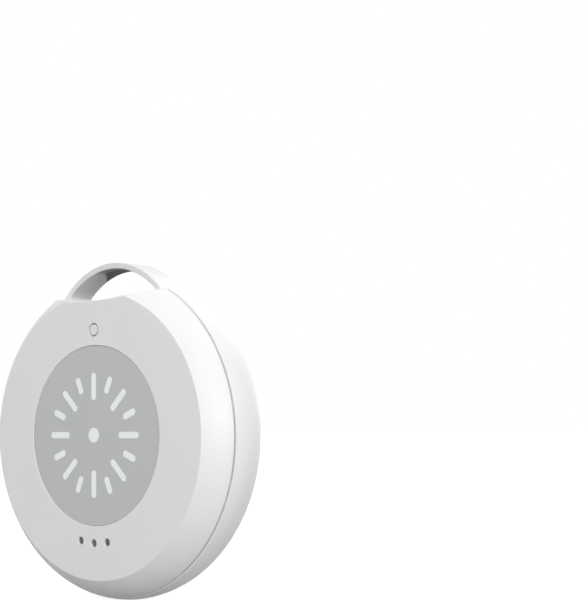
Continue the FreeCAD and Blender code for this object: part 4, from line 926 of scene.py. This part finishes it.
def paint_shade_inside_loop(material):
    """Painted shade inside the band, rougher there, darkest in a painted shadow under the crown."""
    tree = material.node_tree
    effect = next(node for node in tree.nodes if node.type == "GROUP")
    place = add(tree, "ShaderNodeTexCoord").outputs["Object"]
    axes = axes_of(tree, place)
    rise = minus(tree, axes["Z"], LOOP_INNER_CENTRE * MM)
    squares = plus(tree, arithmetic(tree, "POWER", axes["X"], 2.0), arithmetic(tree, "POWER", rise, 2.0))
    across = arithmetic(tree, "ABSOLUTE", axes["X"])
    deep = minus(tree, axes["Y"], (FACE_PLANE + LOOP_FRONT) * MM)
    near = blend(tree, arithmetic(tree, "SQRT", squares), INNER_BLEND, 0.0, 1.0, LOOP_INNER)
    inside = times(tree, near, blend(tree, axes["Z"], FOOT_BLEND, 0.0, 1.0, FOOT_HEIGHT))
    crown = blend(tree, across, CROWN_BLEND, 1.0, 0.0)
    uneven = times(tree, noise(tree, place, SHADOW_EDGE_SCALE), PAINTED_SHADOW_RAGGED * MM)
    slant = minus(tree, plus(tree, across, uneven), times(tree, deep, PAINTED_SHADOW_SLANT))
    # The painted shadow under the crown: its edge slants back with depth and is made ragged by noise.
    crown_shadow = times(tree, blend(tree, slant, PAINTED_SHADOW_BLEND, 1.0, 0.0),
                 blend(tree, deep, PAINTED_SHADOW_DEPTHS, 0.0, 1.0))
    # Painted shade on the inner side, more painted shade under the crown, and the painted shadow darkest of
    # all.
    plain, inner_shade, shaded, dark = [grey(tone) for tone in BAND_GREY_AND_PAINTED_SHADES]
    tone = mixed_colour(tree, inside, plain, inner_shade)
    tone = mixed_colour(tree, times(tree, inside, crown), tone, shaded)
    tone = mixed_colour(tree, times(tree, inside, crown_shadow), tone, dark)
    coarse = plus(tree, effect.outputs["Roughness"], times(tree, inside, EXTRA_ROUGHNESS))
    feed_all(tree, effect, {"Color": tone})
    feed_all(tree, tree.nodes["Principled BSDF"], {"Roughness": coarse})
    return len(tree.nodes)


print("nodes in the loop's material:", paint_shade_inside_loop(LOOP_PLASTIC))

# %% [markdown]
# ## Geometry Nodes in plain code
# What repeats is made by Geometry Nodes. A tree gets named inputs, ends in real geometry with
# its material, and is run on a holder object whose inputs are set before it is evaluated.
# The holder is used up, and only a plain mesh is left, because the export drops instances.

# %% Geometry Nodes helpers
def geometry_tree(name, sockets):
    """An empty geometry tree with named inputs: (label, socket kind, value)."""
    tree = bpy.data.node_groups.new(name, "GeometryNodeTree")
    tree.interface.new_socket("Geometry", in_out="INPUT", socket_type="NodeSocketGeometry")
    for label, kind, value in sockets:
        socket = tree.interface.new_socket(label, in_out="INPUT", socket_type="NodeSocket" + kind)
        socket.default_value = value
    tree.interface.new_socket("Material", in_out="INPUT", socket_type="NodeSocketMaterial")
    tree.interface.new_socket("Geometry", in_out="OUTPUT", socket_type="NodeSocketGeometry")
    return tree, add(tree, "NodeGroupInput").outputs


def close_tree(tree, given, geometry):
    """End a tree with plain mesh and its material."""
    real = add(tree, "GeometryNodeRealizeInstances", {"Geometry": geometry}).outputs["Geometry"]
    coated = add(tree, "GeometryNodeSetMaterial", {"Geometry": real, "Material": given["Material"]})
    add(tree, "NodeGroupOutput", {"Geometry": coated.outputs["Geometry"]})
    return tree


def vector(tree, **parts):
    """A vector from some of its X, Y and Z."""
    return add(tree, "ShaderNodeCombineXYZ", parts).outputs["Vector"]


def moved(tree, geometry, **change):
    """Geometry with a Translation or a Rotation."""
    return add(tree, "GeometryNodeTransform", {"Geometry": geometry, **change}).outputs["Geometry"]


def grow(tree, values, start=None):
    """Run a tree on a mesh, with its inputs set by name, and return the plain mesh."""
    holder = put("holder", start or bpy.data.meshes.new("start"))
    modifier = holder.modifiers.new("nodes", "NODES")
    modifier.node_group = tree
    for item in tree.interface.items_tree:
        if item.in_out == "INPUT" and item.name in values:
            modifier[item.identifier] = values[item.name]
    return plain_mesh(holder)


UPRIGHT = (math.pi / 2, 0.0, 0.0)
print("a flat mesh is stood upright by", math.degrees(UPRIGHT[0]), "degrees")

# %% [markdown]
# ## A ring of dashes
# The ornament on the disc repeats round the axis. Its dash is a circle whose right half is
# pushed outwards, filled and given a thickness. The instances turn by an equal step, so only
# the count, the two radii and the stroke decide the ornament.

# %% The dash tree
DASH_POINTS = 32
PAST_MIDDLE = 1e-6


def make_dash_tree():
    """Flat dashes with round ends round the Y axis."""
    tree, given = geometry_tree("ring_of_dashes", [
        ("Count", "Int", 12), ("Inner Radius", "Float", 0.006), ("Outer Radius", "Float", 0.012),
        ("Stroke", "Float", 0.0014), ("Thickness", "Float", 0.0001), ("Turn", "Float", 0.0),
        ("Front", "Float", 0.0)])
    half = arithmetic(tree, "DIVIDE", given["Stroke"], 2.0)
    length = minus(tree, minus(tree, given["Outer Radius"], given["Inner Radius"]), given["Stroke"])
    ring = add(tree, "GeometryNodeCurvePrimitiveCircle", {"Resolution": DASH_POINTS, "Radius": half})
    across = axes_of(tree, add(tree, "GeometryNodeInputPosition").outputs["Position"])["X"]
    right = add(tree, "FunctionNodeCompare", {"A": across, "B": PAST_MIDDLE}, operation="GREATER_THAN")
    long = add(tree, "GeometryNodeSetPosition", {
        "Geometry": ring.outputs["Curve"], "Selection": right.outputs["Result"],
        "Offset": vector(tree, X=length)})
    flat = add(tree, "GeometryNodeFillCurve", {"Curve": long.outputs["Geometry"]}, mode="NGONS")
    first = vector(tree, X=plus(tree, given["Inner Radius"], half))
    dash = moved(tree, moved(tree, flat.outputs["Mesh"], Translation=first), Rotation=UPRIGHT)
    thick = add(tree, "GeometryNodeExtrudeMesh", {
        "Mesh": dash, "Offset Scale": given["Thickness"], "Individual": False})
    flipped = add(tree, "GeometryNodeFlipFaces", {"Mesh": dash})
    whole = add(tree, "GeometryNodeJoinGeometry")
    for part in (thick, flipped):
        feed(tree, whole.inputs["Geometry"], part.outputs["Mesh"])
    closed = add(tree, "GeometryNodeMergeByDistance", {
        "Geometry": whole.outputs["Geometry"], "Distance": MERGE_DISTANCE})
    points = add(tree, "GeometryNodePoints", {"Count": given["Count"]})
    share = arithmetic(tree, "DIVIDE", add(tree, "GeometryNodeInputIndex").outputs["Index"], given["Count"])
    turn = times(tree, plus(tree, share, given["Turn"]), math.tau)
    copies = add(tree, "GeometryNodeInstanceOnPoints", {
        "Points": points.outputs["Points"], "Instance": closed.outputs["Geometry"],
        "Rotation": vector(tree, Y=turn)})
    seated = moved(tree, copies.outputs["Instances"], Translation=vector(tree, Y=given["Front"]))
    return close_tree(tree, given, seated)


DASHES = make_dash_tree()
print("nodes in", DASHES.name, ":", len(DASHES.nodes))

# %% [markdown]
# ## The inlay and its ornament
# A grey disc is let into the face and lies a hair below it. It carries a plain printed
# ornament, like the rays of a dial: long and short dashes alternate round a dot. The marks
# are a printed layer, so they stand only three hundredths of a millimetre off the disc. All
# their meshes are joined into one piece. The disc itself is turned, with a small round rim.

# %% Inlay and ornament
INLAY_FRONT, INLAY_BACK = node_depths("inlay_disc")
INLAY_SNUG = 0.03
INLAY_EDGE = 0.05
INK_THICKNESS = 0.03
INK_SINK = 0.001
RAYS = 8
RAY_OUTER = 13.4
RAY_STROKE = 1.4
LONG_INNER = 7.5
SHORT_INNER = 9.6
DOT_RADIUS = 1.6


def join_meshes(meshes):
    """Several meshes as one."""
    whole = bmesh.new()
    for mesh in meshes:
        whole.from_mesh(mesh)
    data = bpy.data.meshes.new("joined")
    whole.to_mesh(data)
    whole.free()
    return data


def build_ornament():
    """Sixteen dashes and a dot."""
    common = {"Count": RAYS, "Outer Radius": RAY_OUTER * MM, "Stroke": RAY_STROKE * MM,
              "Thickness": INK_THICKNESS * MM, "Front": (FACE_PLANE + INLAY_FRONT + INK_SINK) * MM,
              "Material": WHITE_INK}
    rays = [grow(DASHES, {**common, "Inner Radius": inner * MM, "Turn": turn})
            for inner, turn in ((LONG_INNER, 0.0), (SHORT_INNER, 1 / (2 * RAYS)))]
    dot = [(DOT_RADIUS, INLAY_FRONT - INK_THICKNESS), (DOT_RADIUS, INLAY_FRONT + INK_SINK)]
    return join_meshes(rays + [solids(turned(dot))])


inlay = rim_steps(INLAY_RADIUS + INLAY_SNUG, INLAY_FRONT, INLAY_BACK, INLAY_EDGE)
place_piece(solids(turned(inlay, count=DISC_POINTS)), "inlay_disc", GREY_INLAY)
place_piece(build_ornament(), None, WHITE_INK, name="inlay_ornament")

# %% [markdown]
# ## Light guide and plunger
# Both are small turned forms. The guide's flange is trapped behind the face and its tip looks
# at the light chip. The plunger has a bevelled nose, a flange that holds it in, and a stem.

# %% Light guide and plunger
GUIDE_BACK = node_depths("light_guide")[1]
GUIDE_RADIUS = 1.17
GUIDE_EDGE = 0.12
GUIDE_TIP = 1.05
GUIDE_FLANGE = 2.1
GUIDE_FLANGE_BACK = WALL + 0.7
PLUNGER_FRONT, PLUNGER_BACK = node_depths("tamper_plunger")
PLUNGER_STEM = 0.9
PLUNGER_FLANGE = 2.5
FLANGE_FRONT = GUIDE_TOP - 1.3
FLANGE_BACK = GUIDE_TOP - 0.3
NOSE_RADIUS = 1.5
NOSE_BEVEL = ((1.5, 0.4), (1.44, 0.22), (1.28, 0.06), (1.1, 0.0))

guide = rim_steps(GUIDE_RADIUS, 0.0, WALL, GUIDE_EDGE)
guide += [(GUIDE_FLANGE, WALL), (GUIDE_FLANGE, GUIDE_FLANGE_BACK), (GUIDE_RADIUS, GUIDE_FLANGE_BACK),
          (GUIDE_TIP, GUIDE_BACK)]
plunger = [(PLUNGER_STEM, PLUNGER_FRONT), (PLUNGER_STEM, FLANGE_FRONT), (PLUNGER_FLANGE, FLANGE_FRONT),
           (PLUNGER_FLANGE, FLANGE_BACK), (NOSE_RADIUS, FLANGE_BACK)]
plunger += [(radius, PLUNGER_BACK - height) for radius, height in NOSE_BEVEL]
place_piece(solids(turned(guide, 0.0, LIGHT_UP)), "light_guide", MILKY_GUIDE)
place_piece(solids(turned(plunger, 0.0, PLUNGER_UP)), "tamper_plunger", PLUNGER_ACETAL,
            "plunger")

# %% [markdown]
# ## Tamper spring
# A round wire is wound about the plunger, between the switch and the plunger's flange.

# %% Tamper spring
SPRING_WIRE = 0.12
SPRING_RADIUS = 1.35
SPRING_TURNS = 4
TURN_STEPS = 32
WIRE_POINTS = 12
SPRING_ENDS = [corner.y for corner in node_box("tamper_spring")]


def build_tamper_spring():
    """The wire's round section, carried along a helix."""
    skin = Skin()
    wire = circle(SPRING_WIRE, SPRING_RADIUS, 0.0, WIRE_POINTS)
    lines = []
    first, last = SPRING_ENDS
    depths = between(first + SPRING_WIRE, last - SPRING_WIRE, SPRING_TURNS * TURN_STEPS)
    for step, depth in enumerate(depths):
        turn = -math.tau * step / TURN_STEPS
        points = [(reach * math.cos(turn), PLUNGER_UP + reach * math.sin(turn)) for reach, along in wire]
        lines.append(skin.line(points, [depth - FACE_PLANE + along for reach, along in wire]))
    skin.join(lines)
    for end in (lines[0], lines[-1]):
        skin.mesh.faces.new(end)
    return skin.data()


spring = place_piece(build_tamper_spring(), "tamper_spring", SPRING_STEEL)
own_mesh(spring)

# %% [markdown]
# ## Dust mesh
# Behind the three sound holes lies a dark woven mesh that keeps dust from the microphone. It
# is pressed into three shallow caps that stand forward in the holes, so it closes them just
# under the face. It is a flat slab whose front carries the caps, all one closed skin.

# %% Dust mesh
MESH_BACK = node_depths("microphone_mesh")[1]
MESH_MARGIN = 0.8
CAP_FRONT = 0.42
CAP_RADIUS = PORT_RADIUS - 0.05
CAP_EDGE = 0.15


def build_dust_mesh():
    """The mesh plate with its three caps."""
    skin = Skin()
    outline = slot(PORT_SPREAD, PORT_RADIUS + MESH_MARGIN, PORT_MIDDLE)
    plate = skin.stack([(outline, WALL), (outline, MESH_BACK)])
    skin.fill(plate[1])
    steps = [(CAP_RADIUS, WALL)] + rounded(CAP_RADIUS, CAP_FRONT, -CAP_EDGE, CAP_EDGE)[::-1]
    roots = []
    for place in PORT_PLACES:
        cap = skin.stack(turned(steps, *place, PORT_POINTS))
        roots.append(cap[0])
        skin.fill(cap[-1])
    skin.fill(plate[0], *roots)
    return skin.data()


place_piece(build_dust_mesh(), "microphone_mesh", DARK_MESH)

# %% [markdown]
# ## Battery door
# The door is a plate with a hub behind it. Three lugs on the hub turn behind ledges in the
# well, and a coin slot across the plate turns it. Plate, hub and slot are one stack of
# lines; the lugs are sectors that a boolean joins to the hub.

# %% Battery door
HUB_FRONT = node_depths("battery_door")[0]
HUB_RADIUS = 13.0
HUB_EDGE = 0.2
PLATE_FRONT = DOOR_SEAT + 0.05
PLATE_EDGE = 0.3
LUG_RADIUS = 14.5
LUG_ROOT = HUB_RADIUS - 0.5
LUG_FRONT = HUB_FRONT + 0.001
LUG_BACK = HUB_FRONT + 1.1
LUG_EDGE = 0.12
LUG_ANGLES = (90, 210, 330)
LUG_WIDTH = 24
LUG_POINTS = 24
COIN_LENGTH = 15.0
COIN_WIDTH = 1.9
COIN_DEPTH = 0.9
COIN_EDGE = 0.15


def sector(inner, outer, middle, width, count):
    """A ring sector's outline, in degrees."""
    turns = [math.radians(angle) for angle in between(middle - width / 2, middle + width / 2, count)]
    far = [(outer * math.cos(turn), outer * math.sin(turn)) for turn in turns]
    near = [(inner * math.cos(turn), inner * math.sin(turn)) for turn in reversed(turns)]
    return far + near


def build_door():
    """The door's plate and hub, with its coin slot and lugs."""
    skin = Skin()
    steps = rim_steps(HUB_RADIUS, HUB_FRONT, PLATE_FRONT, HUB_EDGE) + [(DOOR_RADIUS, PLATE_FRONT)]
    steps += rounded(DOOR_RADIUS, CASE_DEPTH, -PLATE_EDGE, -PLATE_EDGE)[::-1]
    steps += [(DOOR_RADIUS - PLATE_EDGE - FLAT_RIM, CASE_DEPTH)]
    lines = skin.stack(turned(steps, count=DOOR_POINTS))
    half = (COIN_LENGTH - COIN_WIDTH) / 2
    cut = bore(skin, lambda radius: slot(half, radius), COIN_EDGE, CASE_DEPTH,
               [(COIN_WIDTH / 2, CASE_DEPTH - COIN_DEPTH)])
    skin.fill(lines[0])
    skin.fill(lines[-1], cut[0])
    skin.fill(cut[-1])
    lugs = [slab(sector(LUG_ROOT, LUG_RADIUS, angle, LUG_WIDTH, LUG_POINTS), LUG_FRONT, LUG_BACK, LUG_EDGE)
            for angle in LUG_ANGLES]
    return boolean(skin.data(), solids(*lugs), "UNION")


place_piece(build_door(), "battery_door", WHITE_DOOR, "door")

# %% [markdown]
# ## Screws
# Four equal screws hold the case. One is built here, with a domed head, a cross recess and
# rings for its thread, and Geometry Nodes put a copy of it at each corner of a square.

# %% Screws
SCREW_TIP = node_depths("case_screws")[0]
TIP_RADIUS = 0.3
TIP_LENGTH = 0.6
THREAD_ROOT = 0.75
THREAD_CREST = 0.98
THREAD_PITCH = 0.4
THREAD_STEPS = ((THREAD_ROOT, 0.05), (THREAD_CREST, 0.2), (THREAD_ROOT, 0.35))
THREAD_END = HEAD_SEAT - 3.0
NECK_START = HEAD_SEAT - 2.6
HEAD_TOP = HEAD_SEAT + HEAD_HEIGHT
DOME_HEIGHT = 0.45
DOME_START = HEAD_TOP - DOME_HEIGHT
DOME_SHAPE = 0.6
DOME_TURNS = (0.25, 1.45, 6)
SCREW_POINTS = 32
CROSS_LENGTH = 2.5
CROSS_WIDTH = 0.55
CROSS_DEPTH = 0.8
CROSS_TAPER = (0.45, 0.6)
CROSS_LEVELS = (HEAD_TOP - 0.1, HEAD_TOP + 0.2)


def cross_outline(length, width):
    """The outline of a cross recess."""
    far = length / 2
    near = width / 2
    arm = [(far, -near), (far, near), (near, near)]
    return [point for x, z in ((1, 0), (0, 1), (-1, 0), (0, -1)) for point in
            [(across * x - up * z, across * z + up * x) for across, up in arm]]


def build_screw():
    """One screw on the case's axis, its head to the back."""
    depth = SCREW_TIP + TIP_LENGTH
    steps = [(TIP_RADIUS, SCREW_TIP), (THREAD_ROOT, depth)]
    while depth + THREAD_PITCH < THREAD_END:
        steps += [(radius, depth + along) for radius, along in THREAD_STEPS]
        depth += THREAD_PITCH
    steps += [(THREAD_CREST, NECK_START), (THREAD_CREST, HEAD_SEAT), (HEAD_RADIUS, HEAD_SEAT),
              (HEAD_RADIUS, DOME_START)]
    steps += [(HEAD_RADIUS * math.cos(turn) ** DOME_SHAPE, DOME_START + DOME_HEIGHT * math.sin(turn))
              for turn in between(*DOME_TURNS)]
    narrow = cross_outline(CROSS_LENGTH * CROSS_TAPER[0], CROSS_WIDTH * CROSS_TAPER[1])
    wide = cross_outline(CROSS_LENGTH, CROSS_WIDTH)
    cross = [(narrow, HEAD_TOP - CROSS_DEPTH)] + [(wide, level) for level in CROSS_LEVELS]
    return boolean(solids(turned(steps, count=SCREW_POINTS)), solids(cross), "DIFFERENCE")


def make_corner_tree():
    """Copies of a mesh at the corners of an upright square."""
    tree, given = geometry_tree("four_corners", [("Spacing", "Float", 0.03)])
    grid = add(tree, "GeometryNodeMeshGrid", {
        "Size X": given["Spacing"], "Size Y": given["Spacing"], "Vertices X": 2, "Vertices Y": 2})
    corners = moved(tree, grid.outputs["Mesh"], Rotation=UPRIGHT)
    copies = add(tree, "GeometryNodeInstanceOnPoints", {"Points": corners, "Instance": given["Geometry"]})
    return close_tree(tree, given, copies.outputs["Instances"])


square = {"Spacing": 2 * SCREW_ACROSS * MM, "Material": SCREW_STEEL}
screws = grow(make_corner_tree(), square, build_screw())
place_piece(screws, "case_screws", SCREW_STEEL)

# %% [markdown]
# ## Mounting pads
# Two sectors of foam tape hold the case to a pane. Foam tape is punched from sheet, so each
# pad is a slab with hardly any rounding.

# %% Mounting pads
PAD_INNER = 18.1
PAD_OUTER = node_box("mounting_pad_right")[1].x
PAD_WIDTH = 64
PAD_POINTS = 60
PAD_BACK = node_depths("mounting_pad_right")[1]
PAD_EDGE = 0.1

for node, middle in (("mounting_pad_right", 0), ("mounting_pad_left", 180)):
    outline = sector(PAD_INNER, PAD_OUTER, middle, PAD_WIDTH, PAD_POINTS)
    place_piece(solids(slab(outline, CASE_DEPTH, PAD_BACK, PAD_EDGE)), node, PAD_FOAM)

# %% [markdown]
# ## Finishes for the pieces inside
# The board, its chips, the cell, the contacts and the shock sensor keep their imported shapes,
# which are right as they are. Each gets the finish of the real thing.

# %% Inner pieces
INNER_FINISHES = (
    (CLEAR_TAPE, ("inlay_adhesive",)),
    (LED_RESIN, ("status_led",)),
    (BLACK_RUBBER, ("microphone_gasket",)),
    (TIN_CAN, ("microphone", "radio_shield", "clock_crystal")),
    (SOLDER_MASK, ("main_board", "radio_module")),
    (CHIP_BLACK, ("microcontroller", "audio_amplifier", "chip_parts", "tamper_switch")),
    (TANTALUM, ("tank_capacitors",)),
    (SPRING_STEEL, ("antenna", "battery_contact_negative", "battery_contact_positive")),
    (CELL_STEEL, ("battery",)),
    (BRASS, ("shock_sensor_plate",)),
    (CERAMIC, ("shock_sensor_ceramic",)),
    (LEAD_JACKET, ("shock_sensor_leads",)),
)

for coating, names in INNER_FINISHES:
    for name in names:
        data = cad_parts[name].data
        data.materials.clear()
        data.materials.append(coating)
print("inner pieces finished:", sum(len(names) for coating, names in INNER_FINISHES))

# %% [markdown]
# ## Camera
# The photograph is taken from the detector's left front with a long lens. The view was found
# by fitting the circles of the face, the inlay and the parting line: the camera is turned
# round the upright axis, tilted a little and spun a little, and stands about 28 cm away.

# %% Camera
IMAGE_HEIGHT = 600
FOCAL_PIXELS = 1197.5
SENSOR = 36.0
YAW = math.radians(-36.94)
PITCH = math.radians(-4.57)
SPIN = math.radians(-1.19)
FACE_IN_VIEW = Vector((-43.03, 257.52, -29.06))
NEAREST = 0.01
FARTHEST = 20.0

turn = Matrix.Rotation(PITCH, 3, "X") @ Matrix.Rotation(YAW, 3, "Z") @ Matrix.Rotation(SPIN, 3, "Y")
axes = Matrix((turn[0], turn[2], -turn[1])).transposed()
spot = turn.transposed() @ -FACE_IN_VIEW + Vector((0.0, FACE_PLANE, 0.0))
camera_data = bpy.data.cameras.new("camera")
camera_data.sensor_width = SENSOR
camera_data.lens = FOCAL_PIXELS * SENSOR / IMAGE_HEIGHT
camera_data.clip_start = NEAREST
camera_data.clip_end = FARTHEST
camera = put("camera", camera_data)
camera.matrix_world = Matrix.Translation(spot * MM) @ axes.to_4x4()
bpy.context.scene.camera = camera
bpy.context.scene.view_settings.view_transform = "Standard"
print("camera %.0f mm away, lens %.1f mm" % (spot.length, camera_data.lens))

# %% [markdown]
# ## Floor and world
# The detector stands on a pale floor in an even white room. The camera sees floor and room as
# white, as a product photo shows them, and the floor keeps a faint shadow. What the two send
# to the detector is set apart from that: the room gives an even, weaker light, and the floor
# sends little back, so the lower side of the case falls off to grey.

# %% Floor and world
FLOOR_SIZE = 2.0
FLOOR_SEEN = 0.36
FLOOR_ROUGHNESS = 0.9
FLOOR_GLOW = 0.87
FLOOR_BOUNCE = 0.2
ROOM_LIGHT = 0.365


def build_floor():
    """A plain floor under the lowest point."""
    data = bpy.data.meshes.new("floor")
    level = cad_box[0].z
    corners = [(x * FLOOR_SIZE, y * FLOOR_SIZE, level) for x, y in ((-1, -1), (1, -1), (1, 1), (-1, 1))]
    data.from_pydata(corners, [], [(0, 1, 2, 3)])
    return data


def seen_directly(tree):
    """1 where the camera, a mirror or glass sees the surface, 0 where it lights other things."""
    path = add(tree, "ShaderNodeLightPath").outputs
    seen = arithmetic(tree, "MAXIMUM", path["Is Camera Ray"], path["Is Glossy Ray"])
    return arithmetic(tree, "MAXIMUM", seen, path["Is Transmission Ray"])


def floor_material():
    """White where it is seen, with part of the shadow, and grey where it lights the case."""
    material = bpy.data.materials.new("studio_floor")
    material.use_nodes = True
    tree = material.node_tree
    principled = tree.nodes["Principled BSDF"]
    feed_all(tree, principled, {"Base Color": grey(FLOOR_SEEN), "Roughness": FLOOR_ROUGHNESS})
    glow = add(tree, "ShaderNodeEmission", {"Strength": FLOOR_GLOW})
    bounced = add(tree, "ShaderNodeBsdfDiffuse", {"Color": grey(FLOOR_BOUNCE)})
    both = add(tree, "ShaderNodeAddShader")
    choice = add(tree, "ShaderNodeMixShader", {"Fac": seen_directly(tree)})
    feed(tree, both.inputs[0], principled.outputs["BSDF"])
    feed(tree, both.inputs[1], glow.outputs["Emission"])
    feed(tree, choice.inputs[1], bounced.outputs["BSDF"])
    feed(tree, choice.inputs[2], both.outputs["Shader"])
    feed_all(tree, tree.nodes["Material Output"], {"Surface": choice.outputs["Shader"]})
    return material


def white_world():
    """White where it is seen, and an even, weaker light elsewhere."""
    world = bpy.data.worlds.new("studio")
    world.use_nodes = True
    tree = world.node_tree
    strength = stretch(tree, seen_directly(tree), 0.0, 1.0, ROOM_LIGHT, 1.0)
    feed_all(tree, tree.nodes["Background"], {"Color": grey(1.0), "Strength": strength})
    return world


floor = put("floor", build_floor())
floor.data.materials.append(floor_material())
bpy.context.scene.world = white_world()
print("floor at z = %.2f mm" % (cad_box[0].z / MM))

# %% [markdown]
# ## Lamps
# All lamps are large area lamps, so their light is soft. Each is named for where it stands,
# and its direction is given as seen from the detector. A strong one low at the right gives
# the side its bright band, one at the front right lights the face, and weaker ones above and
# behind even out the loop, the top and the back.

# %% Lamps
LAMP_DISTANCE = 0.8
LAMP_SIZE = 0.5
LAMPS = (
    ("lamp_front_right", (0.35, -0.93, 0.1), 2.4),
    ("lamp_right", (0.95, -0.3, 0.1), 4.33),
    ("lamp_upper_right", (0.5, 0.0, 0.87), 0.8),
    ("lamp_upper_left", (-0.4, -0.5, 0.8), 1.5),
    ("lamp_top_left", (-0.4, 0.1, 0.9), 0.32),
    ("lamp_top_rear", (0.0, 0.7, 0.7), 1.3),
    ("lamp_back", (-0.1, 0.95, 0.3), 0.8),
)

for name, direction, watts in LAMPS:
    data = bpy.data.lights.new(name, "AREA")
    data.shape = "DISK"
    data.size = LAMP_SIZE
    data.energy = watts
    away = Vector(direction).normalized()
    facing = away.to_track_quat("Z", "Y").to_matrix().to_4x4()
    put(name, data).matrix_world = Matrix.Translation(away * LAMP_DISTANCE) @ facing
print("lamps:", len(LAMPS))

# %% [markdown]
# ## Closing
# The imported model's box, taken before any piece was dressed, is printed.

# %% Sizes and finish
print("CAD box:", [list(corner) for corner in cad_box])
